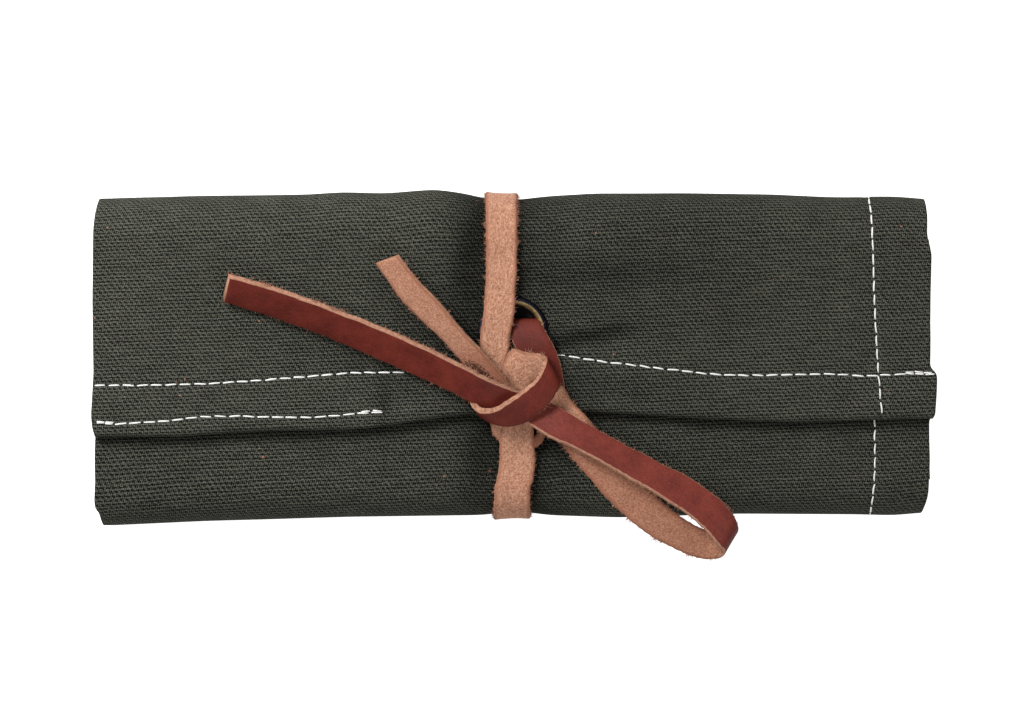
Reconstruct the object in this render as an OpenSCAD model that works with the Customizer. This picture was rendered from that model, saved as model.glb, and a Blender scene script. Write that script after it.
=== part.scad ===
// Canvas watch roll, rolled up flat and tied with a flat leather lace.
// Origin on the resting face of the back panel, midway along the roll.
// X runs along the roll, Y from the bottom fold to the top fold, Z up.

/* [Roll] */
// Length of the roll along X
roll_len = 240; // [200:1:300]
// Distance from the bottom fold to the top fold
roll_depth = 92; // [86:1:110]
// Thickness of the closed roll
roll_h = 26; // [25:0.5:32]
// Thickness of one ply of canvas
ply_t = 1.1; // [0.8:0.1:1.2]
// Loose space between the flap and the front panel
flap_gap = 1.6; // [1.6:0.1:2.4]
// Height of the space between the front panel and the tongue
sleeve_h = 5; // [4.6:0.1:6]
// How far the inner fold stays short of the top fold
inner_fold_in = 12; // [11:0.5:18]
// How far the tongue stays short of the bottom fold
tongue_in = 10; // [8:0.5:30]

/* [Flap] */
// Height of the flap's free edge over the bottom fold, far from the knot
flap_edge_up = 25.4; // [20:0.2:32]
// Rise of the free edge from the left end of the roll to the right end
flap_edge_tilt = 5; // [0:0.5:8]
// How far the lace pulls the free edge up at the knot
flap_pull = 5.5; // [0:0.5:6]
// Half width of the pulled stretch of the free edge
flap_pull_w = 39; // [25:1:60]
// Width of the hem turned under along the free edge
hem_w = 14; // [10:0.5:16]
// How far the thick end of the hem stands out at the right
hem_end_out = 1.8; // [0.4:0.2:3]
// How far the ends of the front panel stay in from the ends of the roll
front_in = 1.5; // [0.5:0.1:3]
// How far the ends of the tongue stay in from the ends of the roll
tongue_side_in = 0.4; // [0:0.1:2]
// Width of the hem at the right side
side_hem_w = 16.5; // [12:0.5:20]

/* [Lace] */
// Width of the flat lace
lace_w = 10; // [8:0.5:10]
// Thickness of the lace
lace_t = 1.3; // [1:0.1:1.3]
// Half width of the flat bottom of the valley that the tied lace draws in
valley_half = 10.6; // [10.6:0.2:14]
// Width of the slope on each side of the valley
valley_slope = 10; // [6:0.5:20]
// Lace centre at the top fold, left of the middle
lace_top_x = -3; // [-4:0.5:0]
// Lace centre at the bottom fold
lace_bottom_x = 0; // [-2:0.5:3]

/* [Grommet] */
// Outer diameter of the grommet flange
grommet_d = 20.2; // [19:0.2:21]
// Bore of the grommet
grommet_bore = 12.4; // [12:0.1:13]
// Wall of the grommet barrel
grommet_wall = 0.5; // [0.3:0.1:0.7]
// Height of the rolled flange over the canvas
grommet_crown = 1.1; // [0.8:0.1:1.2]
// Height of the grommet's centre over the flap's free edge
grommet_up = 22.1; // [21.6:0.1:22.6]

/* [Stitching] */
// Distance from one stitch to the next
stitch_pitch = 4.1; // [3:0.1:6]
// Length of one stitch on the surface
stitch_len = 3.3; // [2:0.1:3.6]
// Thickness of the thread
thread_w = 0.6; // [0.4:0.1:1]
// Height of a stitch over the canvas
thread_h = 0.35; // [0.2:0.05:0.5]
// Distance of the closing seam from the flap's free edge
closing_up = 4; // [3:0.5:6]
// Length of the closing seam
closing_len = 84; // [40:1:100]

/* [Hidden] */
$fn = 64;
canvas = [0.24, 0.26, 0.21];
lining = [0.28, 0.30, 0.25];
flesh = [0.80, 0.56, 0.44];
grain = [0.48, 0.18, 0.15];
thread = [0.92, 0.91, 0.87];
gunmetal = [0.16, 0.17, 0.22];
brass = [0.62, 0.50, 0.28];
half_len = roll_len / 2;
half_depth = roll_depth / 2;

// Levels of the turns: two plies make a panel, and a tied lace lies flush in its valley
panel_t = 2 * ply_t;
flap_low = roll_h - panel_t;
front_top = flap_low - flap_gap;
front_low = front_top - panel_t;
tongue_top = front_low - sleeve_h;
tongue_low = tongue_top - panel_t;
valley_d = lace_t;

// Folds: outside radius, and centre as [y, z]
top_r = roll_h / 2;
top_c = [half_depth - top_r, top_r];
bottom_r = front_top / 2;
bottom_c = [bottom_r - half_depth, bottom_r];
inner_r = (front_top - tongue_low) / 2;
inner_c = [half_depth - inner_fold_in - inner_r, front_top - inner_r];
tongue_end = tongue_in - half_depth;

// Angles round a fold, from straight down towards +Y, where the folds part for opening
top_split = [45, 135];
bottom_split = -90;

// Ends of the turns along the roll
whole = [-half_len, half_len];
front_ends = [-half_len + front_in, half_len - front_in];
tongue_ends = [-half_len + tongue_side_in, half_len - tongue_side_in];
trim_high = 2 * roll_h;
edge_steps = 32;

// Depth of the valley, and the free edge of the flap, at a place along the roll
function valley(x) = valley_d * max(0, min(1, (valley_half + valley_slope - abs(x)) / valley_slope));
function edge_y(x) = flap_edge_up - half_depth + flap_edge_tilt * x / roll_len
    + flap_pull * exp(-pow(x / flap_pull_w, 2));

// Grommet: its seat is the floor of the valley
grommet_y = edge_y(0) + grommet_up;
seat_top = roll_h - valley_d;
seat_low = flap_low - valley_d;
grommet_r = grommet_d / 2;
bore_r = grommet_bore / 2;
barrel_r = bore_r + grommet_wall;
washer_t = 0.7;
washer_in = 1;
crown_step = 15;

// Seams
seam_in = 1.2;
side_seam_x = half_len - side_hem_w;
sleeve_seam_y = [bottom_c[0] + 4, top_c[0] - 4];
groove_w = 2 * thread_w;
end_stitch_in = 2;

// Places for the tied lace: its routes give x, y and height from here
half_w = lace_w / 2;
tie_y = edge_y(0) + 15;
over_flap = seat_top + lace_t / 2;
over_front = front_top - valley_d + lace_t / 2;
under_flap = (seat_low + front_top - valley_d) / 2 - over_flap;
fold_start = top_c[0] - tie_y;
curve_steps = 5;

// Routes of the lace, from the place where the flap's free edge is tied.
// A row has a point and the vector from the middle of the strap to its side.
upper_route = [
    [[-3, fold_start, 0], [half_w, 0, 0]],
    [[-3, 31, 0], [half_w, 0, 0]],
    [[-3, 29, 0], [half_w, 0, 0]],
    [[-3, 24, 0.2], [half_w, 0, 0]],
    [[-3.2, 19, 0.7], [half_w, 0, 0]],
    [[-3.6, 13, 1.8], [half_w, 0, 0]],
    [[-4.7, 6, 1.8], [half_w, 0, 0]],
    [[-5.6, -2, 1.3], [half_w, 0.4, 0]]];
strap_route = [
    [[0.3, 27, under_flap], [half_w, 0, 0]],
    [[0.3, 17, under_flap], [half_w, 0, 0]],
    [[1, 12.6, under_flap + 0.1], [4, 0, 0]],
    [[1.7, 9.8, -2.5], [3.2, 0, 0]],
    [[2.7, 7.8, -0.3], [3.1, 0, 0]],
    [[4.4, 5.6, 1.5], [3.8, 0.8, 0]],
    [[6.6, 2.4, 1.9], [4.4, 2, 0]],
    [[9.4, -1.6, 0.7], [4.4, 2.3, 0]],
    [[12.4, -7.6, 0.6], [4.5, 2.2, 0]]];
wrap_route = [
    [[1.6, -14.4, 0.9], [half_w, 0, 0]],
    [[2.2, -9, 1.5], [half_w, 0, 0]],
    [[4.1, -3.4, 2.8], [4.8, -0.8, 0]],
    [[6, 0.4, 4.8], [4.8, -1.2, 0]],
    [[9, 0.2, 7.4], [4.2, -1.6, -2]],
    [[10.9, -5.4, 8], [2.8, -1.8, -3.8]],
    [[7.3, -11.1, 8.3], [3.4, -2, -3.2]],
    [[2.2, -15.7, 7.9], [3.1, -2.2, -3.3]],
    [[-4.4, -18.4, 6], [2.2, -2.4, -3.6]],
    [[-8.8, -17.6, 4], [1.4, -2.8, -3.4]]];
bow_route = [
    [[12.9, -8.6, 0.6], [4.4, 2.3, 0]],
    [[13.6, -14.6, 1], [4.4, 2.4, 0]],
    [[17, -20.4, 1.1], [4.3, 2.6, 0]],
    [[21, -26, 0.7], [4, 3, 0]],
    [[27, -33, 0.1], [3.8, 3.2, 0]],
    [[34.4, -40.4, -0.5], [3.6, 3.5, 0]],
    [[41, -46, -1.1], [3.2, 3.9, 0]],
    [[50.8, -52.6, -1.9], [2.6, 4.3, 0]],
    [[57.6, -54.2, -2.3], [2.4, 4.4, 0]],
    [[60.8, -52.8, 0], [2.3, 4.4, 0]],
    [[59, -49.6, 2.7], [2.4, 4.4, 0]],
    [[54, -45, 3.5], [2.6, 4.2, 0.6]],
    [[44, -37.4, 4.1], [2.4, 4.2, 1]],
    [[35.8, -32, 4.5], [2.4, 4.2, 1]],
    [[27, -27.2, 4.7], [2.4, 4.2, 1]],
    [[18.6, -22.6, 4.3], [2.5, 4.2, 0.8]],
    [[10.6, -17.8, 3], [2.5, 4.3, 0]],
    [[6.4, -15.6, 3.1], [2.4, 4.4, 0.2]],
    [[3, -13.9, 4.1], [2.2, 4.4, 0.8]]];
grain_tail_route = [
    [[3, -13.9, 4.1], [2.2, 4.4, 0.8]],
    [[-3, -11.4, 5.3], [2, 4.3, 1.4]],
    [[-9.2, -9, 5.9], [1.9, 4.1, 2.1]],
    [[-20.6, -4, 5.1], [1.8, 3.8, 2.7]],
    [[-36, 2.8, 4.5], [1.7, 3.8, 2.8]],
    [[-52, 9.7, 4.3], [1.7, 3.8, 2.8]],
    [[-68, 15.6, 4.3], [1.6, 3.8, 2.8]],
    [[-82, 19.8, 4.5], [1.5, 3.9, 2.7]]];
flesh_tail_route = [
    [[-6.4, -3.6, 5.5], [3, 2.8, 2.6]],
    [[-12.6, 1.8, 5.7], [2.7, 2.5, 3.2]],
    [[-19, 7.8, 5.3], [2.5, 2.3, 3.6]],
    [[-24.4, 13.4, 5.1], [2.5, 2.2, 3.7]],
    [[-29.6, 19.4, 5.1], [2.7, 2, 3.7]],
    [[-35.4, 27.6, 5.1], [3, 1.8, 3.6]]];

// Routes of the lace on the front panel, measured from the centre of the bottom fold
lower_route = [
    [[0, 0, 0], [half_w, 0, 0]],
    [[0, 1, 0], [half_w, 0, 0]],
    [[0, 2, 0], [half_w, 0, 0]],
    [[0.6, 5.2, 0.3], [half_w, 0, 0]],
    [[1.2, 8.9, 1.5], [half_w, 0, 0]],
    [[1.4, 13.9, 1.7], [half_w, 0, 0]],
    [[1.4, 17.4, 2.4], [half_w, 0, 0]]];
hitch_route = [
    [[-4.6, 17.9, 0.4], [3, 0.6, 0]],
    [[-2.6, 13.5, 0.1], [2.6, 2, 0]],
    [[2.4, 11.5, 0], [0.4, 3.2, 0]],
    [[6.4, 14.3, 0.1], [-2.6, 2, 0]],
    [[7.4, 17.7, 0.4], [-3, 0.4, 0]]];

// Points of the smooth curve through a list of points
function between(a, b, c, d, t) = 0.5
    * (2 * b + (c - a) * t + (2 * a - 5 * b + 4 * c - d) * t * t + (3 * b - a - 3 * c + d) * t * t * t);
function smooth(list) = let (n = len(list) - 1) [
    for (i = [0 : n - 1]) for (s = [0 : curve_steps - 1])
        between(list[max(i - 1, 0)], list[i], list[i + 1], list[min(i + 2, n)], s / curve_steps),
    list[n]];
function unit(v) = v / norm(v);

// Flat strap along a route, with its four corners at each step
module strap(route) {
    centre = smooth([for (row = route) row[0]]);
    side = smooth([for (row = route) row[1]]);
    n = len(centre) - 1;
    up = [for (i = [0 : n])
        unit(cross(centre[min(i + 1, n)] - centre[max(i - 1, 0)], side[i])) * lace_t / 2];
    corners = [for (i = [0 : n]) each [
        centre[i] - side[i] + up[i], centre[i] + side[i] + up[i],
        centre[i] + side[i] - up[i], centre[i] - side[i] - up[i]]];
    polyhedron(corners, concat(
        [[3, 2, 1, 0]],
        [for (i = [0 : n - 1]) for (k = [0 : 3]) let (m = (k + 1) % 4)
            each [[4 * i + k, 4 * i + m, 4 * i + m + 4], [4 * i + k, 4 * i + m + 4, 4 * i + k + 4]]],
        [[4 * n, 4 * n + 1, 4 * n + 2, 4 * n + 3]]));
}

module tied(route) {
    translate([0, tie_y, over_flap]) strap(route);
}

module on_front(route) {
    translate([lace_bottom_x, bottom_c[0], over_front]) strap(route);
}

// Section of a ply as [x, height], with the valley drawn down from it
module ply_section(low, high, ends) {
    foot = valley_half + valley_slope;
    xs = [ends[0], -foot, -valley_half, valley_half, foot, ends[1]];
    polygon(concat(
        [for (x = xs) [x, low - valley(x)]],
        [for (i = [len(xs) - 1 : -1 : 0]) [xs[i], high - valley(xs[i])]]));
}

// Flat stretch of a ply whose outside faces up
module ply_up(low, high, y_from, y_to, ends) {
    translate([0, y_to, 0]) rotate([90, 0, 0])
        linear_extrude(y_to - y_from) ply_section(low, high, ends);
}

// Flat stretch of a ply whose outside faces down
module ply_down(low, high, y_from, y_to, ends) {
    translate([0, y_from, 0]) rotate([-90, 0, 0])
        linear_extrude(y_to - y_from) ply_section(-high, -low, ends);
}

// Turns a section of [x, radius] round a fold
module fold(c, from, to) {
    translate([0, c[0], c[1]]) rotate([0, 90, 0]) rotate([0, 0, from])
        rotate_extrude(angle = to - from) mirror([1, -1, 0]) children();
}

module ply_fold(c, r_low, r_high, from, to, ends) {
    fold(c, from, to) ply_section(r_low, r_high, ends);
}

// The upper half of the top fold mirrors its lower half
module upper_half() {
    translate([0, 0, roll_h]) mirror([0, 0, 1]) children();
}

// Outline of the flap: a strip along the free edge, or the whole flap
module flap_outline(depth) {
    steps = [for (i = [0 : edge_steps]) -half_len + i * roll_len / edge_steps];
    low_right = edge_y(half_len);
    polygon(concat(
        [for (x = steps) [x, edge_y(x)]],
        [[half_len + hem_end_out, low_right + hem_end_out],
            [half_len + hem_end_out, low_right + min(depth, hem_w) - hem_end_out],
            [half_len, low_right + min(depth, hem_w)]],
        depth > hem_w
            ? [[half_len, half_depth], [-half_len, half_depth]]
            : [for (i = [edge_steps - 1 : -1 : 0]) [steps[i], edge_y(steps[i]) + depth]]));
}

// Flat stretch of a ply of the flap, cut to that outline
module flap_flat(low, high, depth) {
    wider = half_len + 2 * hem_end_out;
    intersection() {
        ply_up(low, high, -half_depth, top_c[0], [-wider, wider]);
        linear_extrude(trim_high) flap_outline(depth);
    }
}

module grommet_hole() {
    translate([0, grommet_y, 0]) cylinder(r = barrel_r, h = trim_high);
}

// Groove that a seam draws into the resting face
module seam_groove(x_from, x_to, y_from, y_to) {
    translate([x_from, y_from, -thread_h]) cube([x_to - x_from, y_to - y_from, 2 * thread_h]);
}

module back_grooves() {
    foot = valley_half + valley_slope;
    for (y = sleeve_seam_y) {
        seam_groove(-half_len + seam_in, -foot, y - groove_w / 2, y + groove_w / 2);
        seam_groove(foot, half_len - seam_in, y - groove_w / 2, y + groove_w / 2);
    }
    seam_groove(side_seam_x - groove_w / 2, side_seam_x + groove_w / 2, bottom_c[0], top_c[0]);
}

// Stitches: one along X, and a row of them along Y
module stitch() {
    translate([-stitch_len / 2, -thread_w / 2, 0]) cube([stitch_len, thread_w, thread_h]);
}

module stitches_along_x(x_from, x_to) {
    count = floor((x_to - x_from) / stitch_pitch);
    for (i = [0 : count - 1]) translate([x_from + (i + 0.5) * stitch_pitch, 0, 0]) stitch();
}

module stitches_along_y(y_from, y_to) {
    translate([0, y_from, 0]) rotate([0, 0, 90]) stitches_along_x(0, y_to - y_from);
}

// Stitches that follow the free edge of the flap at a distance
module edge_stitches(x_from, x_to, up) {
    count = floor((x_to - x_from) / stitch_pitch);
    for (i = [0 : count - 1]) {
        x = x_from + (i + 0.5) * stitch_pitch;
        deep = min(valley(x - stitch_len / 2), valley(x + stitch_len / 2));
        slope = atan(edge_y(x + 0.5) - edge_y(x - 0.5));
        translate([x, edge_y(x) + up, roll_h - deep]) rotate([0, 0, slope]) stitch();
    }
}

// Stitches round a fold
module fold_stitches(c, r, from, to) {
    count = floor((to - from) * r * PI / 180 / stitch_pitch);
    for (i = [0 : count - 1])
        translate([side_seam_x, c[0], c[1]]) rotate([from + (i + 0.5) * (to - from) / count, 0, 0])
            translate([0, 0, -r]) rotate([180, 0, 90]) stitch();
}

module back_outer_ply() {
    color(canvas) difference() {
        union() {
            ply_fold(bottom_c, bottom_r - ply_t, bottom_r, bottom_split, 0, whole);
            ply_down(0, ply_t, bottom_c[0], top_c[0], whole);
            ply_fold(top_c, top_r - ply_t, top_r, 0, top_split[0], whole);
        }
        back_grooves();
    }
}

module back_inner_ply() {
    color(lining) {
        ply_fold(bottom_c, bottom_r - panel_t, bottom_r - ply_t, bottom_split, 0, whole);
        ply_down(ply_t, panel_t, bottom_c[0], top_c[0], whole);
        ply_fold(top_c, top_r - panel_t, top_r - ply_t, 0, top_split[0], whole);
    }
}

module front_outer_ply() {
    color(canvas) {
        ply_fold(bottom_c, bottom_r - ply_t, bottom_r, -180, bottom_split, front_ends);
        ply_up(front_top - ply_t, front_top, bottom_c[0], inner_c[0], front_ends);
    }
}

module front_inner_ply() {
    color(lining) {
        ply_fold(bottom_c, bottom_r - panel_t, bottom_r - ply_t, -180, bottom_split, front_ends);
        ply_up(front_low, front_top - ply_t, bottom_c[0], inner_c[0], front_ends);
    }
}

module inner_fold_outer_ply() {
    color(canvas) ply_fold(inner_c, inner_r - ply_t, inner_r, 0, 180, tongue_ends);
}

module inner_fold_inner_ply() {
    color(lining) ply_fold(inner_c, inner_r - panel_t, inner_r - ply_t, 0, 180, tongue_ends);
}

module tongue_outer_ply() {
    color(canvas) ply_down(tongue_low, tongue_low + ply_t, tongue_end, inner_c[0], tongue_ends);
}

module tongue_inner_ply() {
    color(lining) ply_down(tongue_low + ply_t, tongue_top, tongue_end, inner_c[0], tongue_ends);
}

module top_edge_outer_ply() {
    color(canvas) ply_fold(top_c, top_r - ply_t, top_r, top_split[0], top_split[1], whole);
}

module top_edge_inner_ply() {
    color(lining) ply_fold(top_c, top_r - panel_t, top_r - ply_t, top_split[0], top_split[1], whole);
}

module flap_outer_ply() {
    color(canvas) {
        difference() {
            flap_flat(roll_h - ply_t, roll_h, roll_depth);
            grommet_hole();
        }
        upper_half() ply_fold(top_c, top_r - ply_t, top_r, 0, 180 - top_split[1], whole);
    }
}

module flap_inner_ply() {
    color(lining) {
        difference() {
            flap_flat(flap_low, roll_h - ply_t, roll_depth);
            grommet_hole();
            translate([0, grommet_y, 0]) cylinder(r = grommet_r - washer_in, h = seat_low + washer_t);
        }
        upper_half() ply_fold(top_c, top_r - panel_t, top_r - ply_t, 0, 180 - top_split[1], whole);
    }
}

module flap_hem_turning() {
    color(canvas) flap_flat(flap_low - ply_t, flap_low, hem_w);
}

module grommet_shell() {
    mid = (bore_r + grommet_r) / 2;
    reach = (grommet_r - bore_r) / 2;
    color(gunmetal) translate([0, grommet_y, 0]) rotate_extrude() polygon(concat(
        [[bore_r, seat_low], [barrel_r, seat_low], [barrel_r, seat_top]],
        [for (a = [0 : crown_step : 180])
            [mid + reach * cos(a), seat_top + grommet_crown * sin(a)]]));
}

module grommet_washer() {
    color(brass) translate([0, grommet_y, seat_low]) difference() {
        cylinder(r = grommet_r - washer_in, h = washer_t);
        translate([0, 0, -1]) cylinder(r = barrel_r, h = washer_t + 2);
    }
}

module hem_thread() {
    color(thread) {
        edge_stitches(-half_len + seam_in, -valley_half - valley_slope, hem_w - thread_w);
        edge_stitches(valley_half + valley_slope / 2, half_len, hem_w - thread_w);
    }
}

module closing_thread() {
    color(thread) edge_stitches(-half_len + seam_in, -half_len + seam_in + closing_len, closing_up);
}

module flap_side_thread() {
    color(thread) {
        translate([side_seam_x, 0, roll_h]) {
            stitches_along_y(edge_y(side_seam_x) + end_stitch_in, edge_y(side_seam_x) + hem_w - end_stitch_in);
            stitches_along_y(edge_y(side_seam_x) + hem_w + end_stitch_in, top_c[0]);
        }
        fold_stitches(top_c, top_r, top_split[1], 180);
    }
}

module top_edge_side_thread() {
    color(thread) fold_stitches(top_c, top_r, top_split[0], top_split[1]);
}

module front_side_thread() {
    color(thread) {
        translate([side_seam_x, 0, front_top]) stitches_along_y(bottom_c[0], edge_y(side_seam_x) - end_stitch_in);
        fold_stitches(bottom_c, bottom_r, -180, bottom_split);
    }
}

module back_side_thread() {
    color(thread) translate([side_seam_x, 0, 0])
        stitches_along_y(sleeve_seam_y[0] + end_stitch_in, sleeve_seam_y[1] - end_stitch_in);
}

module sleeve_seam_thread() {
    foot = valley_half + valley_slope;
    color(thread) for (y = sleeve_seam_y) translate([0, y, 0]) {
        stitches_along_x(-half_len + 2 * seam_in, -foot - seam_in);
        stitches_along_x(foot + seam_in, side_seam_x - seam_in);
    }
}

module lace_section(c_x, r) {
    translate([c_x - half_w, r - lace_t]) square([lace_w, lace_t]);
}

module lace_back_run() {
    color(grain) {
        fold(bottom_c, bottom_split, 0) lace_section(lace_bottom_x, bottom_r);
        linear_extrude(lace_t) polygon([
            [lace_bottom_x - half_w, bottom_c[0]], [lace_bottom_x + half_w, bottom_c[0]],
            [lace_top_x + half_w, top_c[0]], [lace_top_x - half_w, top_c[0]]]);
        fold(top_c, 0, top_split[0]) lace_section(lace_top_x, top_r);
    }
}

module lace_top_edge() {
    color(flesh) fold(top_c, top_split[0], top_split[1]) lace_section(lace_top_x, top_r);
}

module lace_upper_run() {
    color(flesh) {
        upper_half() fold(top_c, 0, 180 - top_split[1]) lace_section(lace_top_x, top_r);
        tied(upper_route);
    }
}

module lace_lower_run() {
    color(flesh) {
        fold(bottom_c, -180, bottom_split) lace_section(lace_bottom_x, bottom_r);
        on_front(lower_route);
    }
}

module lace_grommet_strap() {
    color(grain) tied(strap_route);
}

module knot_wrap() {
    color(grain) tied(wrap_route);
}

module knot_hitch() {
    color(flesh) on_front(hitch_route);
}

module bow_loop() {
    color(grain) tied(bow_route);
}

module grain_tail() {
    color(grain) tied(grain_tail_route);
}

module flesh_tail() {
    color(flesh) tied(flesh_tail_route);
}

back_outer_ply();
back_inner_ply();
front_outer_ply();
front_inner_ply();
inner_fold_outer_ply();
inner_fold_inner_ply();
tongue_outer_ply();
tongue_inner_ply();
top_edge_outer_ply();
top_edge_inner_ply();
flap_outer_ply();
flap_inner_ply();
flap_hem_turning();
grommet_shell();
grommet_washer();
hem_thread();
closing_thread();
flap_side_thread();
top_edge_side_thread();
front_side_thread();
back_side_thread();
sleeve_seam_thread();
lace_back_run();
lace_top_edge();
lace_upper_run();
lace_lower_run();
lace_grommet_strap();
knot_wrap();
knot_hitch();
bow_loop();
grain_tail();
flesh_tail();
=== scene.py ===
"""Canvas watch roll, rolled up flat and tied with a flat leather lace.

Lengths in the functions are in millimetres, in the frame of the CAD model: X along the roll, Y from the
bottom fold to the top fold, Z up from the table. A piece's mesh is written in metres.
"""
import math
import random

import bpy
import numpy as np
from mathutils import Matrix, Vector


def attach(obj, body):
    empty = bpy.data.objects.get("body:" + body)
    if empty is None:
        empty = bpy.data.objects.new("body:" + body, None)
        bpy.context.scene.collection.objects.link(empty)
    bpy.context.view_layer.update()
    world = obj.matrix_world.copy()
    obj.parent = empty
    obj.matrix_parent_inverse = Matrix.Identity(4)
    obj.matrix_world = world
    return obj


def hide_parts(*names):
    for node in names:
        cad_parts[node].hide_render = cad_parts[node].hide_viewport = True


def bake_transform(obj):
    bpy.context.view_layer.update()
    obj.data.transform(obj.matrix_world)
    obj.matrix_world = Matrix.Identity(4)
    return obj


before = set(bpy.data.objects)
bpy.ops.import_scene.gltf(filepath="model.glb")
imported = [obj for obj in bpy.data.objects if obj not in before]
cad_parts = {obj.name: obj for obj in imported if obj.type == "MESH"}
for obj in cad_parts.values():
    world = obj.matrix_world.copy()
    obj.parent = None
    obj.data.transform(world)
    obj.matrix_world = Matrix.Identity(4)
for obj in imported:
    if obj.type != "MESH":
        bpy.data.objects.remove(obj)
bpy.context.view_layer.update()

MM = 0.001

# Levels and folds of the roll
PANEL_T = 2.2
FLAP_MID, FRONT_MID, TONGUE_MID, BACK_MID = 24.9, 21.1, 13.9, 1.1
TOP_Y, TOP_Z, TOP_R = 33.0, 13.0, 11.9
BOTTOM_Y, BOTTOM_Z, BOTTOM_R = -34.9, 11.1, 10.0
INNER_Y, INNER_Z, INNER_R = 29.3, 17.5, 3.6
BACK_JOIN_Y, TONGUE_END = -28.0, -36.0
HALF_LEN, HALF_DEPTH = 120.0, 46.0
FLAP_TOP, FRONT_TOP = FLAP_MID + PANEL_T / 2, FRONT_MID + PANEL_T / 2

# Stretches on which the cloth passes from one body to the next, as (start, end) in metres
OVER_TOP = (0, 0.0452, 0.0145), (0, 0.033, 0.0250)
ROUND_BOTTOM = (0, -0.0349, 0.0022), (0, -0.0349, 0.0200)

# The lace, how deep it draws the canvas in, and how far apart its stretches lie in the leather's pattern
LACE_T, VALLEY = 1.8, 1.7
LAY_APART = 300.0
FLESH_TAIL = 25
TORN_AT = FLESH_TAIL * LAY_APART + 7.6

# Grommet's middle, and the hole in the flap for it
GROMMET_X, GROMMET_Y, GROMMET_HOLE_R = 0.3, 7.0, 8.9

# Weave of the canvas: from row to row, from dip to dip in a row, from thread to thread, and its slope
ROW_PITCH, DIP_PITCH, THREAD_PITCH, WEAVE_SLOPE = 1.017, 1.6, 0.615, 0.042

# From point to point along a seam's path, and from stitch to stitch in the side hem
SEAM_STEP = 1.5
SIDE_PITCH = 3.9

# The photograph's frame, seen from straight above
FRAME_WIDTH, PX_PER_MM = 1024, 3.5


# Lines and fields

def drawn(points, soft=3.0):
    """A smooth line through (place, value) points."""
    places, values = zip(*points)
    fine = np.arange(min(places) - 6 * soft, max(places) + 6 * soft, 0.25)
    reach = np.arange(-3 * soft, 3 * soft + 0.25, 0.25)
    weight = np.exp(-(reach / soft) ** 2 / 2)
    level = np.pad(np.interp(fine, places, values), len(reach) // 2, mode="edge")
    smooth = np.convolve(level, weight / weight.sum(), "valid")[:len(fine)]
    return lambda at: np.interp(at, fine, smooth)


def step(low, high, at):
    """0 below low, 1 above high, and smooth between them."""
    t = np.clip((at - low) / (high - low), 0, 1)
    return t * t * (3 - 2 * t)


def ridge(at, width):
    """A soft ridge, 1 high at 0."""
    return np.exp(-(at / width) ** 2)


def ripple(x, y, size, seed):
    """Soft random waves of about that size, between -1 and 1."""
    dice = random.Random(seed)
    total = 0
    for _ in range(7):
        turn, k = dice.uniform(0, 2 * math.pi), 2 * math.pi / (size * dice.uniform(0.7, 1.6))
        total = total + np.sin((x * math.cos(turn) + y * math.sin(turn)) * k + dice.uniform(0, 6.28))
    return total / 4


def crease(x, y, start, end, width, depth):
    """A soft groove along a straight line, which fades out at its end."""
    (x0, y0), (x1, y1) = start, end
    along = ((x - x0) * (x1 - x0) + (y - y0) * (y1 - y0)) / ((x1 - x0) ** 2 + (y1 - y0) ** 2)
    off = np.hypot(x - x0 - along * (x1 - x0), y - y0 - along * (y1 - y0))
    return -depth * ridge(off, width) * step(-0.25, 0.1, along) * (1 - step(0.35, 1.1, along))


# Outlines and seams of the roll as they lie: places along the roll with a Y, or along Y with an X
TOP_LINE = drawn([(-117.8, 45.1), (-105.1, 45.5), (-80, 46), (-57.1, 46.3), (-49.1, 47), (-36.3, 46.6),
                  (-22.1, 47.8), (-13.4, 46.6), (-8, 45.2), (-3, 44.8), (1.9, 44.8), (9.4, 45.7),
                  (23.4, 46.6), (48, 46.6), (74.3, 46.3), (94, 45.4), (110.6, 45.6), (117.7, 45)], 2.5)
BOTTOM_LINE = drawn([(-115.7, -48.6), (-87.7, -47.3), (-72.3, -46.9), (-46.3, -46.1), (-8, -45.6),
                     (0, -44.6), (6, -44.9), (9.4, -45.6), (30.9, -46.3), (64.6, -45.2), (99.4, -45.4),
                     (109.4, -45.7), (117.4, -44.9)], 2.5)
FREE_EDGE = drawn([(-118.3, -23.1), (-94.9, -23.1), (-85.1, -22.3), (-72.3, -21.5), (-57.1, -21.3),
                   (-41.1, -20.8), (-27.7, -18.7), (-20.6, -17.7), (-13.4, -16.7), (0, -15.1), (9, -15),
                   (20.9, -15.9), (36, -16.7), (53.7, -17.9), (77.7, -18.9), (103.7, -18.3),
                   (120.3, -17.9)], 3)
HEM_SEAM = drawn([(-119.7, -8.4), (-105.7, -8.4), (-87.7, -8), (-72.3, -7), (-59.7, -6), (-45.7, -4.8),
                  (-29.4, -4.7), (0, -1.2), (12.9, 0.4), (17.7, -0.3), (25.4, -1.6), (33.7, -2.5),
                  (41.4, -3.5), (49.1, -4.2), (53.7, -5), (65.1, -5.6), (77.4, -5.4), (92.9, -5.1),
                  (98.9, -5.9), (108.9, -5.2), (121, -5.2)], 1.5)
CLOSING_SEAM = drawn([(-119, -19.8), (-105.6, -19), (-96.9, -18.5), (-90.3, -17.4), (-79.1, -17.1),
                      (-72, -17.4), (-58, -17.6), (-50.6, -17.1), (-43.4, -16.3), (-35.3, -16)], 1.5)
FLAP_SIDE_SEAM = drawn([(-18, 105.8), (-11.1, 105.1), (-4, 104.6), (7.1, 104), (19.7, 103.4),
                        (35.4, 103), (42, 102.6), (45.4, 101.9)], 2)
FRONT_SIDE_SEAM = drawn([(-45.1, 102.4), (-40.6, 103.4), (-30.6, 103.9), (-18.6, 103.7)], 2)
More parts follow.
